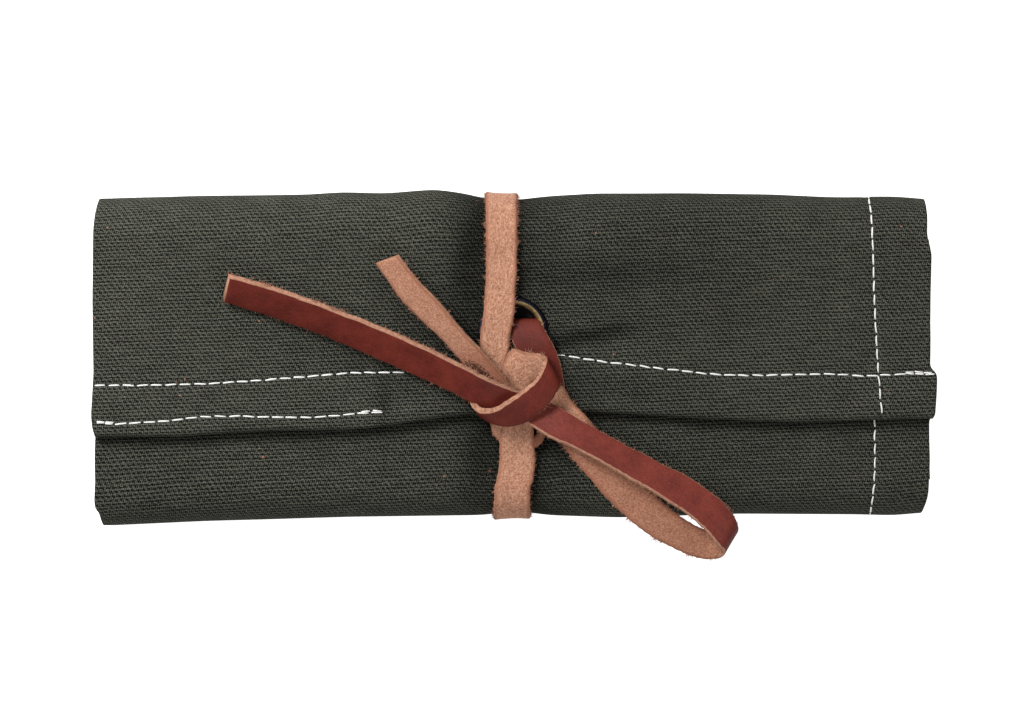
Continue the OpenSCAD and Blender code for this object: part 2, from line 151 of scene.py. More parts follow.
FLAP_LEFT = drawn([(-22.9, -119.1), (-21, -119.9), (-17, -120.3), (-12, -120), (-5, -119.6),
                   (16, -119.9), (36.9, -119.7), (41, -119.3), (44.3, -118.7), (46, -118)], 0.8)
FLAP_RIGHT = drawn([(-18, 119.9), (-17.3, 120.9), (-15.4, 121), (-11.4, 121.3), (-6, 121.5), (-4.6, 121.1),
                    (-3.6, 119.6), (-1.1, 119.4), (17.4, 119.6), (29.1, 119.9), (31.7, 119.4), (35.1, 118.6),
                    (40.6, 118.8), (44.3, 118.4), (46, 117.8)], 0.6)
FRONT_LEFT = drawn([(-46.6, -115.4), (-46.2, -116.4), (-45.6, -116.9), (-44.4, -117.5), (-41.6, -118.3),
                    (-40.9, -119.2), (-39, -119.5), (-34, -119.2), (-20, -119.1)], 0.3)
FRONT_RIGHT = drawn([(-46, 117), (-44.9, 117.5), (-42.1, 118.6), (-40, 119.1), (-30, 119.5),
                     (-18.9, 119.2)], 0.8)
# Grooves that the tie pulls into the flap, as (start, end, width, depth)
CREASES = [((8, 25), (70, 22), 4.5, 0.55), ((10.5, 3.6), (44, 8.6), 2.4, 1.3),
           ((-9, 36), (-22, 2), 3.5, 0.5), ((-16, 1), (-52, -6), 3, 0.35),
           ((14, -6), (52, -12), 3, 0.4), ((-14, -11), (-44, -13), 2.5, 0.4),
           ((-35, -16), (-37, -3), 1.6, 0.3), ((12, 40), (46, 36), 4, 0.3),
           ((-12, 42), (-44, 38), 4, 0.3)]


def lace_line(y):
    """Where the lace's middle lies along the roll."""
    return np.interp(y, [-46, -16, 10, 46], [0.6, 1.2, -3.6, -3])


def valley(x, y):
    """How far the lace draws the canvas in."""
    return VALLEY * (1 - step(5.6, 15, np.abs(x - lace_line(y))))


def flap_valley(x, y):
    """The same on the flap, where the whole grommet lies in it."""
    away = step(5.6, 15, np.abs(x - lace_line(y)))
    return VALLEY * (1 - away * step(10.6, 16, np.hypot(x - GROMMET_X, y - GROMMET_Y)))


# Painted shade along creases, put into the canvas colour only, as (start, end, width, how much darker)
PAINTED_CREASE_SHADE = [((5, 23), (66, 24), 3.8, 0.3), ((10.5, 3.4), (42, 8.8), 2.4, 0.6), ((-8, 42), (-17, 4), 5, 0.4),
        ((-4, -20), (-15, -40), 6, 0.35), ((8, -19), (24, -36), 6, 0.35), ((-36, -1), (-37, -25), 2.4, 0.3),
        ((-6, -12), (-92, 17), 6, 0.25), ((-8, -4), (-46, 29), 6, 0.42), ((14, -8), (60, -12), 4, 0.2)]


def shade(x, y):
    """Painted shade on the canvas where the tie draws it in: the share of the light that its colour keeps
    beside the lace, in a broad dip right of the middle and along the crease lines, 1 is all of it.
    """
    away = x - lace_line(y)
    low = step(-10, -20, y)
    # Painted shade on both sides of the lace, deeper on its right
    lace_painted_shade = np.where(away < 0, 0.55 - 0.1 * low, 0.62 + 0.05 * low) * ridge(away, 13)
    # Painted shade in a broad dip right of the middle, deeper on the upper half, then along the crease lines
    soft = 1 - (0.08 + 0.1 * step(0, 12, y)) * ridge(x - 42, 38)
    for spot in PAINTED_CREASE_SHADE:
        soft = soft * (1 + crease(x, y, *spot))
    return (1 - lace_painted_shade) * soft


def settled(p):
    """Points of the plain roll, moved as the tied canvas has settled."""
    x, y, z = p[..., 0], p[..., 1], p[..., 2]
    high = step(0, 20, z)
    up = (TOP_LINE(x) - HALF_DEPTH + valley(x, 46)) * step(24, 44, y)
    down = (BOTTOM_LINE(x) + HALF_DEPTH - valley(x, -46)) * step(24, 44, -y)
    away = x - lace_line(y)
    sunk = 2.0 * ridge(away, 12) * (1 - 0.6 * step(38, 50, np.abs(y)))
    crown = 0.5 * ripple(x, 0.6 * y, 95, 3) + 0.25 * ripple(x, y, 34, 8)
    droop = 0.9 * step(104, 121, np.abs(x))
    return np.stack([x, y + up + down, z + high * (crown * step(2, 20, np.abs(away)) - sunk - droop)], -1)


# Mesh pieces

def piece(name, points, faces, finishes, slots=None, lay=None, body=None, smooth=True):
    """A named mesh piece from points in millimetres, with its finishes and its body."""
    mesh = bpy.data.meshes.new(name)
    mesh.from_pydata((np.asarray(points, float) * MM).tolist(), [], [list(f) for f in faces])
    for finish in finishes:
        mesh.materials.append(finish)
    if slots is not None:
        mesh.polygons.foreach_set("material_index", np.asarray(slots, np.int32))
    if lay is not None:
        mesh.attributes.new("lay", "FLOAT_VECTOR", "POINT").data.foreach_set(
            "vector", np.asarray(lay, np.float32).ravel())
    mesh.polygons.foreach_set("use_smooth", np.full(len(mesh.polygons), smooth))
    mesh.validate()
    mesh.update()
    item = bpy.data.objects.new(name, mesh)
    bpy.context.scene.collection.objects.link(item)
    if body:
        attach(item, body)
    return item


def joined(*parts):
    """Several (points, faces, slots, lay) made one."""
    points, faces, slots, lay = [], [], [], []
    for p, f, s, a in parts:
        first = len(points)
        points.extend(p)
        faces.extend([[i + first for i in face] for face in f])
        slots.extend(s)
        lay.extend(a)
    return points, faces, slots, lay


# Finishes

class Value:
    """A socket that takes part in sums: an expression on it adds its Math nodes."""

    def __init__(self, finish, socket):
        self.finish, self.socket = finish, socket

    def math(self, operation, *others):
        return self.finish.add("ShaderNodeMath", {"operation": operation}, [self, *others])

    def __add__(self, other):
        return self.math("ADD", other)

    def __sub__(self, other):
        return self.math("SUBTRACT", other)

    def __rsub__(self, other):
        return self.finish.add("ShaderNodeMath", {"operation": "SUBTRACT"}, [other, self])

    def __mul__(self, other):
        return self.math("MULTIPLY", other)

    def __truediv__(self, other):
        return self.math("DIVIDE", other)

    def __pow__(self, other):
        return self.math("POWER", other)

    __radd__, __rmul__ = __add__, __mul__


class Finish:
    """A material, with the shader values that are the same all over."""

    def __init__(self, name, **values):
        self.material = bpy.data.materials.new(name)
        self.material.use_nodes = True
        self.tree = self.material.node_tree
        self.tree.nodes.clear()
        self.shader = self.tree.nodes.new("ShaderNodeBsdfPrincipled")
        out = self.tree.nodes.new("ShaderNodeOutputMaterial")
        self.tree.links.new(self.shader.outputs[0], out.inputs[0])
        for key, value in values.items():
            self.shader.inputs[key.replace("_", " ")].default_value = value

    def add(self, kind, settings=None, values=(), out=0):
        """A node of that type, set up and wired, as the value of one of its outputs."""
        node = self.tree.nodes.new(kind)
        for key, value in (settings or {}).items():
            if key == "stops":
                ramp = node.color_ramp
                for place, colour in value[1:-1]:
                    ramp.elements.new(place)
                for element, (place, colour) in zip(ramp.elements, value):
                    element.position, element.color = place, (*colour, 1)
            else:
                setattr(node, key, value)
        for key, value in (values.items() if isinstance(values, dict) else enumerate(values)):
            if isinstance(value, Value):
                self.tree.links.new(value.socket, node.inputs[key])
            else:
                node.inputs[key].default_value = value
        return Value(self, node.outputs[out])

    def feed(self, name, value):
        """A value wired to a socket of the shader."""
        self.tree.links.new(value.socket, self.shader.inputs[name])

    def lay(self, parts):
        """The place in a piece's own directions, in millimetres, then its first parts: the third is the
        painted light and shade, the share of the light that its colour keeps."""
        place = self.add("ShaderNodeAttribute", {"attribute_name": "lay"}, out="Vector")
        return place, *(self.add("ShaderNodeSeparateXYZ", None, [place], k) for k in range(parts))

    def noise(self, place, scale, detail=2.0, rough=0.5):
        """Soft spots, about 0.5 on the whole."""
        return self.add("ShaderNodeTexNoise", None,
                        {"Vector": place, "Scale": scale, "Detail": detail, "Roughness": rough})

    def stretched(self, place, factors):
        """A place with its directions scaled, which draws a pattern out along the smaller ones."""
        return self.add("ShaderNodeVectorMath", {"operation": "MULTIPLY"}, [place, factors])

    def between(self, low, high, value):
        """0 below low, 1 above high."""
        return self.add("ShaderNodeMapRange", {"interpolation_type": "SMOOTHSTEP"}, [value, low, high, 0, 1])

    def mix(self, share, first, second):
        """A colour between two, by a share of the second."""
        first, second = (c if isinstance(c, Value) else (*c, 1) for c in (first, second))
        return self.add("ShaderNodeMix", {"data_type": "RGBA"}, {0: share, 6: first, 7: second}, 2)

    def shaded(self, colour, value):
        """A colour made lighter or darker by a value."""
        return self.add("ShaderNodeVectorMath", {"operation": "SCALE"}, {0: colour, "Scale": value})

    def bump(self, height, distance, strength=1.0):
        """Fine relief of that depth in millimetres."""
        normal = self.add("ShaderNodeBump", None,
                          {"Height": height, "Distance": distance * MM, "Strength": strength})
        self.feed("Normal", normal)


def canvas_finish(name, dark, light, fleck):
    """Heavy cotton duck: staggered rows of yarn, with lint and a little dust, with painted shade in the
    weave's hollows, painted light on its crowns, and the painted shade that the lay carries.
    """
    f = Finish(name, Roughness=0.95, Specular_IOR_Level=0.05)
    place, along, across, painted_light_share = f.lay(3)
    place = f.stretched(place, (1.0, 1.0, 0.0))
    turn_once = 2 * math.pi
    wander = f.noise(place, 0.11, 2.0) * 0.45
    row = (across + along * WEAVE_SLOPE) * (turn_once / ROW_PITCH) + wander * turn_once
    jitter = f.noise(place, 0.35, 1.0) * 2.4 + f.noise(place, 1.1, 1.0) * 1.1
    column = along * (turn_once / DIP_PITCH) + jitter
    rows = row.math("COSINE")
    twill = (row * 0.5 - column).math("COSINE")
    yarns = (row * 0.5 + along * (turn_once / THREAD_PITCH)).math("COSINE")
    fibre = f.noise(f.stretched(place, (1.0, 1.25, 1)), 2.55, 0.0) - 0.5
    slub = f.noise(f.stretched(place, (0.12, 1.0, 1)), 1.0, 1.0) - 0.5
    pits = (row * 1.571 - along * 0.5).math("COSINE")
    height = (rows * 0.46 + twill * 0.32 - rows * twill * 0.18 + yarns * 0.36 + pits * 0.2
              + fibre * 2.7 + slub * 0.8)
    mottle = f.noise(place, 0.045, 4.0, 0.6)
    # Painted shade and light: the weave's hollows take the dark colour and its crowns the light one, and
    # painted shade from the lay widens the hollows
    colour = f.mix(f.between(-0.70, 0.98, height - (1 - painted_light_share) * 0.45), dark, light)
    tint = f.noise(place, 1.3, 2.0)
    colour = f.mix(f.between(0.56, 0.74, tint) * 0.5, colour, f.mix(0.5, colour, (0.066, 0.058, 0.020)))
    colour = f.mix(f.between(0.45, 0.3, tint) * 0.5, colour, f.mix(0.5, colour, (0.024, 0.046, 0.043)))
    lint = f.between(0.76, 0.79, f.noise(f.stretched(place, (1.0, 0.45, 1)), 0.95, 1.0))
    colour = f.mix(lint * 0.35, colour, fleck)
    dusty = f.between(0.66, 0.68, f.noise(place, 0.09, 0.0))
    dust = f.between(0.80, 0.83, f.noise(place, 0.85, 0.0)) * dusty
    colour = f.mix(dust * 0.8, colour, (0.42, 0.19, 0.12))
    # Painted shade from the lay darkens the whole colour
    f.feed("Base Color", f.shaded(colour, (mottle * 0.4 + 0.8) * (painted_light_share ** 0.75)))
    f.bump(height, 0.22, 0.9)
    return f.material


def thread_finish():
    """White cotton thread with its twist."""
    f = Finish("thread", Roughness=0.75, Sheen_Weight=0.2)
    place, along, across = f.lay(2)
    twist = ((along * 1.1 + across * 7.5).math("SINE")) * 0.5 + 0.5
    grime = f.noise(place, 0.7, 3.0)
    f.feed("Base Color", f.shaded(f.mix(twist, (0.83, 0.82, 0.79), (0.95, 0.95, 0.93)), grime * 0.12 + 0.92))
    f.bump(twist, 0.06)
    return f.material


def grain_finish():
    """The lace's smooth side: oiled red-brown leather with a fine grain and a few rubs, with the painted
    light, shade and sheen that the lay carries.
    """
    f = Finish("lace_grain", Specular_IOR_Level=0.15)
    place, along, _, painted_light_share = f.lay(3)
    pores = f.add("ShaderNodeTexVoronoi", {"feature": "F1"}, {"Vector": place, "Scale": 2.6})
    cloud = f.noise(place, 0.16, 5.0, 0.6)
    drag = f.noise(f.stretched(place, (2.4, 0.35, 1)), 1.3, 4.0, 0.65)
    rub = f.between(0.6, 0.78, f.noise(place, 0.33, 3.0)) * f.between(0.5, 0.7, drag)
    edge = f.between(4.4, 4.95, along.math("ABSOLUTE"))
    colour = f.mix(f.between(0.25, 0.75, cloud), (0.084, 0.0100, 0.0068), (0.150, 0.0215, 0.0138))
    colour = f.mix(f.between(0.3, 0.8, drag) * 0.45, colour, (0.18, 0.034, 0.018))
    colour = f.mix(rub * 0.3, colour, (0.165, 0.060, 0.046))
    colour = f.mix(edge * f.between(0.35, 0.65, drag) * 0.55, colour, (0.27, 0.104, 0.060))
    specks = f.noise(place, 1.9, 2.0, 0.8)
    # Painted sheen: where the lay paints more light than 1, the colour turns towards a pale haze
    colour = f.mix(f.between(1.0, 1.3, painted_light_share) * 0.15, colour, (0.20, 0.070, 0.060))
    # Painted light and shade from the lay
    f.feed("Base Color", f.shaded(colour, (specks * 1.1 + 0.45) * painted_light_share))
    f.feed("Roughness", cloud * 0.25 + rub * 0.12 + 0.42)
    f.bump(pores * 0.6 + drag * 0.6 + f.noise(place, 5.5, 3.0) * 0.5, 0.05, 0.7)
    return f.material


def flesh_finish():
    """The lace's napped side, with painted shade from the lay that also turns it redder, and a torn brown
    patch on one tail.
    """
    f = Finish("lace_flesh", Roughness=0.96, Specular_IOR_Level=0.1, Sheen_Weight=0.08, Sheen_Roughness=0.5)
    place, along, across, painted_light_share = f.lay(3)
    nap = f.noise(f.stretched(place, (1.5, 0.8, 1)), 1.5, 4.0, 0.75)
    cloud = f.noise(place, 0.2, 4.0, 0.6)
    fuzz = f.noise(place, 2.3, 0.0)
    stain = f.between(0.58, 0.78, f.noise(f.stretched(place, (1, 0.5, 1)), 0.5, 5.0, 0.7))
    pits = f.between(0.62, 0.74, f.noise(f.stretched(place, (1, 0.6, 1)), 1.4, 3.0, 0.7))
    side = f.between(3.7, 4.95, along.math("ABSOLUTE") + (nap - 0.5) * 2.2)
    fluff = f.between(0.235, 0.595, nap * 0.6 + fuzz * 0.2)
    colour = f.mix(fluff, (0.30, 0.113, 0.062), (0.72, 0.412, 0.276))
    colour = f.mix(stain * 0.6, colour, (0.30, 0.104, 0.055))
    colour = f.mix(pits * 0.5, colour, (0.165, 0.055, 0.030))
    colour = f.mix(side * 0.7, colour, (0.26, 0.082, 0.042))
    # Painted shade: where the lay paints less light, the nap turns redder
    colour = f.mix(f.between(1.0, 0.6, painted_light_share) * 0.5, colour, (0.42, 0.12, 0.06))
    torn = ((along + 2.4) / 3.8) ** 2 + ((across - TORN_AT) / 6.4) ** 2 + (nap - 0.5) * 4.5
    colour = f.mix(f.between(1.25, 0.55, torn) * 0.85, colour, (0.050, 0.019, 0.012))
    # Painted light and shade from the lay
    f.feed("Base Color", f.shaded(colour, (cloud * 0.3 + 0.85) * painted_light_share))
    f.bump(nap * 0.9 + fuzz * 0.5 + cloud * 0.4, 0.35, 0.9)
    return f.material


def raw_edge_finish():
    """The cut edge of the lace and its loose fibres."""
    f = Finish("lace_edge", Roughness=0.95, Specular_IOR_Level=0.1)
    (place,) = f.lay(0)
    layers = f.noise(f.stretched(place, (3.0, 0.6, 1)), 1.8, 5.0, 0.7)
    pits = f.between(0.66, 0.74, f.noise(place, 1.1, 3.0, 0.7))
    colour = f.mix(f.between(0.3, 0.7, layers), (0.31, 0.133, 0.082), (0.535, 0.296, 0.200))
    f.feed("Base Color", f.mix(pits * 0.6, colour, (0.089, 0.030, 0.016)))
    f.bump(layers, 0.25, 0.8)
    return f.material


def grommet_finish():
    """Dark plating, worn to the brass on the inner slope and on the outermost line."""
    f = Finish("grommet", Metallic=1.0)
    place, out_from_middle = f.lay(1)
    scuff = f.noise(place, 0.9, 4.0, 0.65)
    fine = f.noise(f.stretched(place, (1, 4, 1)), 3.0, 3.0)
    inner = f.between(8.95, 8.75, out_from_middle + (scuff - 0.5) * 0.5)
    deep = f.between(7.75, 7.5, out_from_middle + (scuff - 0.5) * 0.25)
    rim = f.between(10.02, 10.1, out_from_middle + (scuff - 0.5) * 0.1)
    worn = (inner * (1 - deep)).math("MAXIMUM", rim * 0.7)
    brass = f.mix(f.between(0.35, 0.7, scuff), (0.24, 0.163, 0.067), (0.49, 0.363, 0.178))
    plate = f.mix(f.between(0.4, 0.75, fine), (0.0085, 0.0095, 0.0170), (0.026, 0.029, 0.048))
    f.feed("Base Color", f.mix(worn, plate, brass))
    f.feed("Roughness", scuff * 0.25 + 0.38)
    f.bump(scuff + fine * 0.3, 0.04, 0.6)
    return f.material


# Each dark colour paints shade into the weave's hollows, each light one paints light on its crowns
CANVAS = canvas_finish("canvas", (0.0070, 0.0076, 0.0062), (0.134, 0.136, 0.109), (0.25, 0.22, 0.15))
LINING = canvas_finish("canvas_inside", (0.0080, 0.0088, 0.0072), (0.136, 0.139, 0.112), (0.25, 0.22, 0.15))
THREAD = thread_finish()
GRAIN = grain_finish()
FLESH = flesh_finish()
RAW = raw_edge_finish()
GROMMET = grommet_finish()
LACE_FINISHES = [GRAIN, FLESH, RAW]


# Canvas panels

def turn(centre_y, centre_z, radius, angle):
    """Point and outward direction on a fold, at an angle from straight down towards +Y."""
    out_y, out_z = np.sin(angle), -np.cos(angle)
    return centre_y + radius * out_y, centre_z + radius * out_z, out_y, out_z


def walk(legs, s):
    """Points and outward directions at lengths s along a panel's middle, which goes through its legs."""
    s = np.asarray(s, float)
    result = [np.zeros_like(s) for _ in range(4)]
    start = 0.0
    for i, (kind, *leg) in enumerate(legs):
        if kind == "flat":
            y0, y1, z, out_z = leg
            length = abs(y1 - y0)
            t = s - start
            got = (y0 + np.sign(y1 - y0) * t, z + 0 * t, 0 * t, out_z + 0 * t)
        else:
            centre_y, centre_z, radius, a0, a1 = leg
            length = radius * abs(a1 - a0)
            got = turn(centre_y, centre_z, radius, a0 + np.sign(a1 - a0) * (s - start) / radius)
        here = (s >= start) if i == len(legs) - 1 else (s >= start) & (s < start + length)
        result = [np.where(here, g, r) for g, r in zip(got, result)]
        start += length
    return result


TOP_TURN, QUARTER = TOP_R * math.pi / 2, math.pi / 2
BOTTOM_TURN, INNER_TURN = BOTTOM_R * math.pi, INNER_R * math.pi
FLAP_LEGS = [("turn", TOP_Y, TOP_Z, TOP_R, QUARTER, math.pi), ("flat", TOP_Y, -60, FLAP_MID, 1)]
BACK_LEGS = [("turn", TOP_Y, TOP_Z, TOP_R, QUARTER, 0), ("flat", TOP_Y, -60, BACK_MID, -1)]
FRONT_LEGS = [("flat", BACK_JOIN_Y, BOTTOM_Y, BACK_MID, -1),
              ("turn", BOTTOM_Y, BOTTOM_Z, BOTTOM_R, 0, -math.pi), ("flat", BOTTOM_Y, 60, FRONT_MID, 1)]
INNER_LEGS = [("turn", INNER_Y, INNER_Z, INNER_R, math.pi, 0), ("flat", INNER_Y, -60, TONGUE_MID, -1)]

# Columns at an end of a panel, as (distance in, share of the thickness): its rounded edge
PLY_END = [(0.45, 0.0), (0.2, 0.12), (0.05, 0.29), (0.0, 0.5), (0.07, 0.75), (0.28, 0.93), (0.55, 1.0)]
INNER_COLUMNS = 440
COLUMNS = np.array([-HALF_LEN + d for d, _ in PLY_END] + list(np.linspace(-119, 119, INNER_COLUMNS))
                   + [HALF_LEN - d for d, _ in PLY_END[::-1]])
NOSE_R, NOSE_ROWS = 1.6, 8
END_SHARE = np.array([q for _, q in PLY_END] + [1.0] * INNER_COLUMNS + [q for _, q in PLY_END[::-1]])


def placed(x, y, left, right):
    """Columns of a panel, moved at its ends to where they lie at each y."""
    return (x + (left(y) + HALF_LEN) * step(-80, -HALF_LEN, x)
            + (right(y) - HALF_LEN) * step(80, HALF_LEN, x))


def on_panel(legs, x, s, height, ends):
    """Points at a height over a panel's middle, at places x along the roll and s round it."""
    y, z, out_y, out_z = walk(legs, s)
    return settled(np.stack([placed(x, y, *ends), y + out_y * height, z + out_z * height], -1))


def weave_lay(face, x, s, nose):
    """Lengths along and across a face, with the way round its rounded ends and its nose, if any."""
    end_way = np.linalg.norm(np.diff(face, axis=1), axis=-1) - np.abs(np.diff(x, axis=1))
    end_way *= np.abs(x[:, 1:]) + np.abs(x[:, :-1]) > 2 * 117.5
    along = x + np.cumsum(np.pad(end_way, ((0, 0), (1, 0))), axis=1)
    along = along - (along - x)[:, x.shape[1] // 2, None]
    nose_way = np.linalg.norm(np.diff(face, axis=0), axis=-1) - np.abs(np.diff(s, axis=0))
    nose_way[:-NOSE_ROWS if nose else None] = 0
    return along, s + np.cumsum(np.pad(nose_way, ((1, 0), (0, 0))), axis=0)


def shell_faces(number, under, gone, flip, nose):
    """Faces between two grids of points, closed at both ends of the rows or in a nose, and their slots."""
    rows, columns = number.shape
    faces, slots = [], []
    for grid, turned, slot in ((number, flip, 0), (under, not flip, 1)):
        for r in range(rows - 1):
            for c in range(columns - 1):
                if gone[r, c] and gone[r + 1, c] and gone[r, c + 1] and gone[r + 1, c + 1]:
                    continue
                face = [grid[r, c], grid[r + 1, c], grid[r + 1, c + 1], grid[r, c + 1]]
                faces.append(face[::-1] if turned else face)
                slots.append(slot)
    for r, turned in ((0, flip), (rows - 1, not flip)):
        if r and nose:
            continue
        for c in range(columns - 1):
            face = [number[r, c], number[r, c + 1], under[r, c + 1], under[r, c]]
            face = [v for i, v in enumerate(face) if v not in face[:i]]
            faces.append(face[::-1] if turned else face)
            slots.append(0)
    return faces, slots


def panel(name, legs, s, high, low, ends, body, finishes, flip, lay_at, nose=False, hole=None,
          light=lambda x, y: 0.95):
    """A stretch of doubled canvas as a closed shell, from rows s and the heights of its two faces.

    The hole is (x, y, radius). lay_at turns a length s into a place in the weave, and light gives the
    painted shade of the outer face: the share of the light that its colour keeps.
    """
    rows, columns = s.shape
    x = np.broadcast_to(COLUMNS, s.shape)
    outer = on_panel(legs, x, s, high * END_SHARE, ends)
    inner = on_panel(legs, x, s, -low * END_SHARE, ends)
    number = np.arange(rows * columns).reshape(rows, columns)
    under = number + rows * columns
    under[:, 0], under[:, -1] = number[:, 0], number[:, -1]
    if nose:
        under[-1] = number[-1]
    gone = np.zeros((rows, columns), bool)
    if hole:
        gone = np.hypot(outer[..., 0] - hole[0], outer[..., 1] - hole[1]) < hole[2]
    faces, slots = shell_faces(number, under, gone, flip, nose)
    points = np.concatenate([outer.reshape(-1, 3), inner.reshape(-1, 3)])
    # Painted shade of the outer face, carried in the lay to its colour
    painted_shade_share = light(outer[..., 0], outer[..., 1]) + 0 * x
    lay = []
    for face, keeps in ((outer, painted_shade_share), (inner, 0.9 + 0 * s)):
        along, across = weave_lay(face, x, s, nose)
        lay.append(np.stack([along, lay_at(across), keeps], -1).reshape(-1, 3))
    lay = np.concatenate(lay)
    used = np.unique(np.concatenate([np.array(f) for f in faces]))
    renumber = np.zeros(len(points), int)
    renumber[used] = np.arange(len(used))
    faces = [renumber[f].tolist() for f in faces]
    item = piece(name, points[used], faces, finishes, slots, lay[used], body)
    return item


def flap_relief(x, y):
    """How the flap's face lies over or under the plain surface."""
    seam, edge = HEM_SEAM(x), FREE_EDGE(x)
    off, side = y - seam, x - FLAP_SIDE_SEAM(y)
    in_band = np.clip((seam - y) / (seam - edge), 0, 1)
    band = 0.45 * np.sin(math.pi * in_band) ** 0.7
    pucker = (0.08 * np.sin(x * 2 * math.pi / 4.1) * ridge(off, 2.6)
              + 0.06 * np.sin(y * 1.53) * ridge(side, 2.4))
    seams = -0.4 * ridge(off, 0.75) - 0.34 * ridge(side, 0.75)
    seams -= 0.3 * ridge(y - CLOSING_SEAM(x), 0.7) * (1 - step(-36, -33, x))
    layers = 0.3 * step(0, 1.6, side) + 0.15 * ridge(off - 3.5, 2.5)
    lie = 0.3 * ripple(x, y, 42, 5) + 0.1 * ripple(x, y, 15, 6)
    relief = band + pucker + seams + layers + lie + sum(crease(x, y, *c) for c in CREASES)
    return relief * (1 - 0.9 * step(13, 10.3, np.hypot(x, y - GROMMET_Y)))


def front_relief(x, y):
    """The same for the front panel."""
    side = x - FRONT_SIDE_SEAM(y)
    seams = -0.34 * ridge(side, 0.75) + 0.06 * np.sin(y * 1.53) * ridge(side, 2.4)
    layers = 0.3 * step(0, 1.6, side)
    lie = 0.3 * ripple(x, y, 45, 11) + 0.1 * ripple(x, y, 16, 12)
    pulled = crease(x, y, (-6, -24), (-30, -32), 3, 0.4) + crease(x, y, (10, -24), (32, -34), 3, 0.4)
    return seams + layers + lie + pulled


def flap_height(x, s):
    """Height of the flap's face over its middle at x and s."""
    y = walk(FLAP_LEGS, s)[0]
    flat = step(34, 28, y)
    return PANEL_T / 2 - flap_valley(x, y) + flap_relief(x, np.minimum(y, 44)) * (0.35 + 0.65 * flat)


def front_height(x, s):
    """Height of the front's face over its middle at x and s."""
    y, z = walk(FRONT_LEGS, s)[:2]
    top = step(12, 20, z)
    return PANEL_T / 2 - valley(x, y) + front_relief(x, np.maximum(y, -44)) * top


def flap_canvas():
    """The flap from the outermost line of the top fold to its hemmed free edge."""
    x = COLUMNS
    reach = TOP_TURN + TOP_Y - FREE_EDGE(x)
    bend = np.linspace(0, TOP_TURN, 26)[:, None] + 0 * x
    flat = TOP_TURN + np.linspace(0, 1, 104)[1:, None] * (reach - TOP_TURN - NOSE_R)
    angle = np.linspace(0, QUARTER, NOSE_ROWS + 1)[1:, None]
    s = np.concatenate([bend, flat, reach - NOSE_R + NOSE_R * np.sin(angle)])
    share = np.concatenate([np.ones(len(bend) + len(flat)), np.cos(angle[:, 0])])[:, None]
    share[-1] = 0
    y = walk(FLAP_LEGS, s)[0]
    hem = 1 - step(HEM_SEAM(x) - 1, HEM_SEAM(x) + 0.6, y)
    tip = step(7, 1.4, y - FREE_EDGE(x))
    sag = 0.55 * tip
    high = (flap_height(x + 0 * s, s) + sag) * share - sag
    under = PANEL_T / 2 * (1 + hem) + flap_valley(x, y) - 0.15 * ridge(y - HEM_SEAM(x), 0.7)
    low = (under - sag) * share + sag
    # Its outer face gets the painted shade of shade()
    item = panel("flap_canvas", FLAP_LEGS, s, high, low, (FLAP_LEFT, FLAP_RIGHT), None, [CANVAS, LINING],
                 False, lambda s: s, nose=True, hole=(0, GROMMET_Y, GROMMET_HOLE_R),
                 light=shade)
    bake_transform(item)
    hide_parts("flap_outer_ply", "flap_inner_ply", "flap_hem_turning")
    return item


def back_canvas():
    """The back panel, from the outermost line of the top fold to under the bottom fold."""
    x = COLUMNS
    reach = TOP_TURN + TOP_Y - BACK_JOIN_Y
    s = np.concatenate([np.linspace(0, TOP_TURN, 26), np.linspace(TOP_TURN, reach, 60)[1:]])[:, None] + 0 * x
    y = walk(BACK_LEGS, s)[0]
    grooves = 0.3 * (ridge(y + 30.9, 0.8) + ridge(y - 29, 0.8)) * step(20, 23, np.abs(x))
    high = PANEL_T / 2 - valley(x, y) - grooves - 0.3 * ridge(x - 103.5, 0.8)
    item = panel("back_canvas", BACK_LEGS, s, high, PANEL_T / 2 + valley(x, y), (FLAP_LEFT, FLAP_RIGHT),
                 None, [CANVAS, LINING], True, lambda s: -s)
    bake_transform(item)
    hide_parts("back_outer_ply", "back_inner_ply", "top_edge_outer_ply", "top_edge_inner_ply")
    return item


def front_shade(x, y):
    """Painted shade on the front: a painted shadow under the flap's edge, and the canvas's painted shade,
    all 0.91 as light, where it shows, plain where the flap covers it.
    """
    flap_edge_painted_shadow = 1 - 0.4 * step(4.5, -1, FREE_EDGE(x) - y) * step(7, 2, y - FREE_EDGE(x))
    covered = step(2, 9, y - FREE_EDGE(x))
    return (0.91 * shade(x, y) * (1 - covered) + 0.92 * covered) * flap_edge_painted_shadow


def front_canvas():
    """The bottom fold and the front panel under the flap."""
    x = COLUMNS
    lengths = [BACK_JOIN_Y - BOTTOM_Y, BOTTOM_TURN, INNER_Y - BOTTOM_Y]
    marks = np.cumsum([0, *lengths])
    s = np.concatenate([np.linspace(0, marks[1], 9), np.linspace(marks[1], marks[2], 42)[1:],
                        np.linspace(marks[2], marks[3], 84)[1:]])[:, None] + 0 * x
    y = walk(FRONT_LEGS, s)[0]
    high = front_height(x + 0 * s, s)
    # Its outer face gets the painted shade of front_shade()
    item = panel("front_canvas", FRONT_LEGS, s, high, PANEL_T / 2 + valley(x, y) * step(-4, -30, y),
                 (FRONT_LEFT, FRONT_RIGHT), None, [CANVAS, LINING], True,
                 lambda s: -(TOP_TURN + TOP_Y - BACK_JOIN_Y) - s, light=front_shade)
    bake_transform(item)
    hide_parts("front_outer_ply", "front_inner_ply")
    return item


